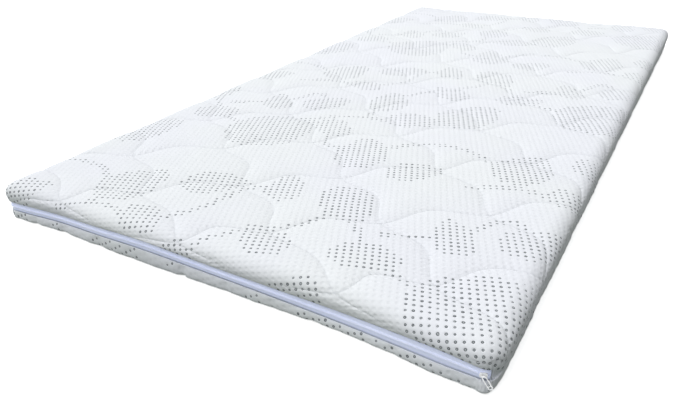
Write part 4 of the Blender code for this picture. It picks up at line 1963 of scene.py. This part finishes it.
@dataclass
class ZipCoil:
    """The closed nylon coil, as two rows of teeth that lock into each other."""

    line: ZipLine
    start_deg: float = 273.5
    pitch: float = 0.00180
    outer: float = 0.0027
    inner: float = -0.0004
    half_width: float = 0.00058
    back: float = 0.0247
    rise: float = 0.0021
    flat: float = 0.8
    rows: tuple = (
        # half of the zip, how far its teeth are shifted along it in shares of the pitch
        (Half.UPPER, 0.25),
        (Half.LOWER, 0.75),
    )
    rings: tuple = (
        # share of the way from the outer end to the inner end, height, thickness
        (0.00, 0.05, 0.75),
        (0.14, 0.50, 1.00),
        (0.50, 0.85, 1.10),
        (0.84, 1.00, 1.20),
        (1.00, 0.86, 1.00),
    )
    seed: int = 5

    def shape(self, half: Half) -> tuple[Points, list]:
        """One tooth, as (along, up, out) rows, and its faces.

        Args:
            half: the half of the zip that it belongs to.

        Returns:
            The rows and the faces.
        """
        verts = []
        for share, height, thick in self.rings:
            middle = half.value * mixed(self.outer, self.inner, share)
            wide = self.half_width * thick
            for back, out in QUARTERS:
                verts.append((-back * wide, middle, self.rise * height + out * wide * self.flat - wide))
        return np.array(verts), tube_faces(len(self.rings), len(QUARTERS), half is Half.UPPER)

    def build(self, material: bpy.types.Material) -> bpy.types.Object:
        """Makes both rows of teeth as one piece.

        Args:
            material: its finish.

        Returns:
            The object.
        """
        first = self.line.mark_at(self.start_deg)
        count = int((self.line.length - first - self.pitch) / self.pitch)
        verts, faces, local, seeds = [], [], [], []
        rng = np.random.default_rng(self.seed)
        start = 0
        for half, shift in self.rows:
            marks = first + (np.arange(count) + shift) * self.pitch
            shape, shape_faces = self.shape(half)
            row = self.line.frames(marks, self.back).copies("tooth_row", shape, shape_faces)
            verts.append(row.verts)
            local.append(row.maps["local"])
            faces.extend([corner + start for corner in face] for face in row.faces)
            seeds.append(np.repeat(rng.random(count), len(shape)))
            start += len(row.verts)
        piece = Piece("coil_teeth", np.vstack(verts), faces)
        piece.maps["local"] = np.vstack(local)
        piece.values["seed"] = np.concatenate(seeds)
        obj = piece.finished(material, Slot.COIL, sharp_deg=80.0)
        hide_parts("zip_coil")
        return obj


@dataclass
class ZipSlider:
    """The slider at the front right corner, with its bridge and the two-rail pull."""

    line: ZipLine
    slider_deg: float = 288.0
    back: float = 0.0252
    thickness: float = 0.0030
    outline: tuple = (
        # along the zip from the open end, half height
        (-0.0053, 0.0030),
        (-0.0034, 0.0041),
        (0.0000, 0.0038),
        (0.0034, 0.0031),
        (0.0051, 0.0027),
    )
    slot_back: float = -0.0006
    slot_front: float = 0.0004
    flange_length: float = 0.0064
    flange_share: float = 0.9
    flange_wall: float = 0.0009
    flange_shift: float = 0.0006
    flange_height: float = 0.0031
    bevel: float = 0.0003
    bridge_half: float = 0.0029
    bridge_rise: float = 0.0030
    bridge_fullness: float = 0.7
    bridge_root: float = 0.0004
    bridge_steps: int = 12
    bridge_wire: float = 0.00075
    bridge_flat: float = 1.25
    wire_sides: int = 10
    pull_length: float = 0.0200
    pull_width: float = 0.0050
    pull_corner: float = 0.0019
    pull_corner_steps: int = 6
    pull_wire: float = 0.00085
    pull_flat: float = 0.8
    pull_bar: float = 0.0042
    pull_bar_share: float = 0.7
    pull_gap: float = 0.00035
    pull_tilt_deg: float = 34.0
    pull_lift_deg: float = 14.0

    def frame(self) -> Matrix:
        """Frame of the slider: X along the zip, Y out of the topper, Z up.

        Returns:
            The frame.
        """
        mark = np.array([self.line.mark_at(self.slider_deg)])
        found = self.line.frames(mark, self.back + self.thickness / 2)
        angle = math.radians(self.slider_deg)
        return Matrix.Translation(found.place[0]) @ Matrix.Rotation(angle - math.pi / 2, 4, "Z")

    def body(self, material: bpy.types.Material) -> bpy.types.Object:
        """The slider's two plates and their flanges, with the bridge over the front plate.

        Args:
            material: its finish.

        Returns:
            The object.
        """
        bm = bmesh.new()
        ring = [*self.outline, *((x, -high) for x, high in reversed(self.outline))]
        for low, high in ((-self.thickness / 2, self.slot_back), (self.slot_front, self.thickness / 2)):
            face = bm.faces.new([bm.verts.new((x, low, z)) for x, z in ring])
            made = bmesh.ops.extrude_face_region(bm, geom=[face])["geom"]
            moved = [item for item in made if isinstance(item, bmesh.types.BMVert)]
            bmesh.ops.translate(bm, verts=moved, vec=(0.0, high - low, 0.0))
        for side in (-1.0, 1.0):
            flange = bmesh.ops.create_cube(bm, size=1.0)["verts"]
            size = (self.flange_length, self.thickness * self.flange_share, self.flange_wall)
            bmesh.ops.scale(bm, verts=flange, vec=size)
            bmesh.ops.translate(bm, verts=flange, vec=(self.flange_shift, 0.0, side * self.flange_height))
        bmesh.ops.recalc_face_normals(bm, faces=bm.faces)
        edges = list(bm.edges)
        bmesh.ops.bevel(bm, geom=edges, offset=self.bevel, segments=2, affect="EDGES", clamp_overlap=True)
        arch = []
        for step in range(self.bridge_steps + 1):
            angle = math.pi * step / self.bridge_steps
            rise = self.bridge_rise * math.sin(angle) ** self.bridge_fullness - self.bridge_root
            arch.append(Vector((self.bridge_half * math.cos(angle), self.thickness / 2 + rise, 0.0)))
        self.wire(bm, arch, self.bridge_wire, self.bridge_flat, closed=False)
        return self.made("slider_body", bm, material, "zip_slider")

    def wire(self, bm: bmesh.types.BMesh, path: list, radius: float, flat: float, closed: bool) -> None:
        """Adds a wire along a path that lies in a plane of constant height.

        Args:
            bm: the mesh to add to.
            path: its middle line, in the XY plane.
            radius: its half thickness in that plane.
            flat: how many times wider it is across the plane.
            closed: whether its ends meet.
        """
        rings = []
        count = len(path)
        up = Vector((0.0, 0.0, 1.0))
        for number, place in enumerate(path):
            before = path[number - 1] if closed or number else place
            after = path[(number + 1) % count] if closed or number < count - 1 else place
            ahead = (after - before).normalized()
            out = Vector((-ahead.y, ahead.x, 0.0))
            ring = []
            for side in range(self.wire_sides):
                angle = FULL_TURN * side / self.wire_sides
                away = out * radius * math.cos(angle) + up * radius * flat * math.sin(angle)
                ring.append(bm.verts.new(place + away))
            rings.append(ring)
        for ring, following in edges_of(rings) if closed else zip(rings, rings[1:]):
            for (corner, after), (above, above_after) in zip(edges_of(ring), edges_of(following)):
                bm.faces.new((corner, after, above_after, above))
        if not closed:
            bm.faces.new(rings[0][::-1])
            bm.faces.new(rings[-1])

    def made(
        self, name: str, bm: bmesh.types.BMesh, material: bpy.types.Material, node: str
    ) -> bpy.types.Object:
        """Turns a mesh in the slider's frame into a piece that stands for a node.

        Args:
            name: name of the piece.
            bm: the mesh, which is used up.
            material: its finish.
            node: the node.

        Returns:
            The object.
        """
        bmesh.ops.recalc_face_normals(bm, faces=bm.faces)
        bm.transform(self.frame())
        bm.verts.index_update()
        verts = np.array([vert.co[:] for vert in bm.verts])
        # the bevel gives its faces in any order, so they are sorted here
        order = np.lexsort(verts.round(7).T)
        numbers = np.argsort(order).tolist()
        faces = []
        for face in bm.faces:
            corners = [numbers[vert.index] for vert in face.verts]
            if len(corners) == 4 and corners[2] < corners[0]:
                corners = corners[2:] + corners[:2]
            faces.append(corners)
        bm.free()
        faces.sort(key=sorted)
        obj = Piece(name, verts[order], faces).finished(material, Slot.METAL, sharp_deg=50.0)
        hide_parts(node)
        return obj

    def pull(self, material: bpy.types.Material) -> bpy.types.Object:
        """The open pull: two rails with round ends, and a cross bar near its free end.

        Args:
            material: its finish.

        Returns:
            The object.
        """
        bm = bmesh.new()
        path = []
        half_x, half_y = self.pull_width / 2, self.pull_length / 2
        inner = Vector((half_x - self.pull_corner, half_y - self.pull_corner, 0.0))
        for side_x, side_y, start in ((1, 1, 0.0), (-1, 1, 90.0), (-1, -1, 180.0), (1, -1, 270.0)):
            corner = Vector((side_x * inner.x, side_y * inner.y, 0.0))
            for step in range(self.pull_corner_steps):
                angle = math.radians(start + 90.0 * (step + 0.5) / self.pull_corner_steps)
                path.append(corner + Vector((math.cos(angle), math.sin(angle), 0.0)) * self.pull_corner)
        self.wire(bm, path, self.pull_wire, self.pull_flat, closed=True)
        bar = [Vector((x, self.pull_bar - half_y, 0.0)) for x in (-half_x, 0.0, half_x)]
        self.wire(bm, bar, self.pull_wire * self.pull_bar_share, self.pull_flat, closed=False)
        out = self.thickness / 2 + self.pull_wire + self.pull_gap
        bm.transform(
            Matrix.Translation((0.0, out, 0.0))
            @ Matrix.Rotation(math.radians(self.pull_lift_deg), 4, "X")
            @ Matrix.Rotation(math.radians(self.pull_tilt_deg), 4, "Y")
            @ Matrix.Translation((0.0, 0.0, -half_y))
            @ Matrix.Rotation(math.pi / 2, 4, "X")
        )
        return self.made("slider_pull", bm, material, "zip_pull")


# ---- Studio --------------------------------------------------------------------------------------------


@dataclass
class Studio:
    """Pale floor, soft light from all round with more from above, and the camera."""

    camera_place: Triple = (0.6299, -1.5960, 0.5954)
    camera_heading: float = 0.5374
    camera_tip: float = 1.0853
    camera_roll: float = -0.018
    picture_width_px: float = 680.0
    focal_px: float = 624.3
    sensor: float = 36.0
    nearest_seen: float = 0.02
    floor_gap: float = 0.0002
    sweep: tuple = (
        # distance out and height of the floor, which sweeps up into a wall all round
        (12.0, 0.0),
        (14.0, 0.3),
        (15.4, 1.4),
        (16.2, 3.2),
        (16.5, 9.0),
    )
    sweep_sides: int = 64
    sky: Triple = (0.98, 0.99, 1.00)
    sky_strength: float = 1.065
    sky_span: Pair = (-0.10, 0.20)
    dark_side: float = 0.90
    dark_span: Pair = (0.05, 0.75)
    ground: Triple = (0.82, 1.00, 0.86)
    ground_strength: float = 0.13
    window_strength: float = 0.70
    window_angle_deg: float = 50.0
    window_from: Triple = (-0.30, -0.30, 1.30)
    overhead_place: Triple = (-0.7, 0.9, 3.0)
    overhead_target: Triple = (0.0, 0.6, 0.0)
    overhead_size: float = 2.6
    overhead_power: float = 11.2

    def floor(self, material: bpy.types.Material) -> None:
        """A wide floor just under the topper, which sweeps up into a wall far away.

        Args:
            material: its finish.
        """
        sides = self.sweep_sides
        verts = []
        for reach, height in self.sweep:
            for side in range(sides):
                angle = FULL_TURN * side / sides
                verts.append((reach * math.cos(angle), reach * math.sin(angle), height - self.floor_gap))
        faces = [list(range(sides)), *(face[::-1] for face in ring_faces(len(self.sweep), sides))]
        mesh = bpy.data.meshes.new("floor")
        mesh.from_pydata(verts, [], faces)
        mesh.shade_smooth()
        mesh.materials.append(material)
        obj = bpy.data.objects.new("floor", mesh)
        obj.visible_diffuse = False
        obj.visible_shadow = False
        bpy.context.scene.collection.objects.link(obj)

    @staticmethod
    def lamp(name: str, kind: str, power: float, place: Vector, ahead: Vector) -> bpy.types.Light:
        """Adds a lamp.

        Args:
            name: its name.
            kind: its type.
            power: its power or strength.
            place: where it stands.
            ahead: the direction it shines in.

        Returns:
            The lamp's data.
        """
        data = bpy.data.lights.new(name, kind)
        data.energy = power
        obj = bpy.data.objects.new(name, data)
        obj.location = place
        obj.rotation_euler = ahead.to_track_quat("-Z", "Y").to_euler()
        bpy.context.scene.collection.objects.link(obj)
        return data

    def overhead(self) -> None:
        """A square soft light above the far half of the topper."""
        place = Vector(self.overhead_place)
        ahead = Vector(self.overhead_target) - place
        self.lamp("overhead", "AREA", self.overhead_power, place, ahead).size = self.overhead_size

    def window(self) -> None:
        """A weak sun with a very soft edge, nearly from straight above and a little from the front left."""
        sun = self.lamp("window", "SUN", self.window_strength, Vector(), -Vector(self.window_from))
        sun.angle = math.radians(self.window_angle_deg)

    def camera(self) -> None:
        """The camera at the photograph's viewing angle."""
        data = bpy.data.cameras.new("camera")
        data.sensor_width = self.sensor
        data.lens = self.focal_px / self.picture_width_px * self.sensor
        data.clip_start = self.nearest_seen
        obj = bpy.data.objects.new("camera", data)
        obj.matrix_world = (
            Matrix.Translation(self.camera_place)
            @ Matrix.Rotation(self.camera_heading, 4, "Z")
            @ Matrix.Rotation(self.camera_tip, 4, "X")
            @ Matrix.Rotation(self.camera_roll, 4, "Z")
        )
        bpy.context.scene.collection.objects.link(obj)
        bpy.context.scene.camera = obj

    def world(self) -> None:
        """An even sky that darkens towards +X, over dim ground."""
        world = bpy.data.worlds.new("studio")
        world.use_nodes = True
        maker = NodeMaker(world.node_tree)
        way = maker.node("ShaderNodeTexCoord", {}, {}, "Generated")
        above = maker.part(way, 2).rise(*self.sky_span)
        sky = self.sky_strength * (1.0 - maker.part(way, 0).rise(*self.dark_span) * self.dark_side)
        background = world.node_tree.nodes["Background"]
        maker.feed(background.inputs["Color"], maker.blend(above, self.ground, self.sky))
        maker.feed(background.inputs["Strength"], above * sky + (1.0 - above) * self.ground_strength)
        bpy.context.scene.world = world
        bpy.context.scene.view_settings.view_transform = "Standard"

    def build(self) -> None:
        """Sets up the whole studio."""
        self.world()
        self.floor(FloorFinish().made())
        self.overhead()
        self.window()
        self.camera()


def main() -> None:
    """Builds the topper in order: cover, dots, thread, zip, studio."""
    logging.basicConfig(level=logging.INFO, format="%(name)s %(message)s")
    form = CoverForm()
    net = DotNet()
    knit = KnitFinish(net, form.quilting.side).made()
    _, surface = QuiltedCover(form).build(knit)
    KnitDots(form, net, LeafPattern()).build(DotYarnFinish().made(), surface)
    QuiltStitches(form).build(ThreadFinish().made())
    line = ZipLine(form)
    tape = TapeFinish().made()
    ZipTape(line, "tape_upper", "zip_tape_upper", Half.UPPER).build(tape)
    ZipTape(line, "tape_lower", "zip_tape_lower", Half.LOWER, section=LEANING_TAPE).build(tape)
    ZipCoil(line).build(CoilFinish().made())
    metal = MetalFinish().made()
    slider = ZipSlider(line)
    slider.body(metal)
    slider.pull(metal)
    Studio().build()


if __name__ == "__main__":
    main()
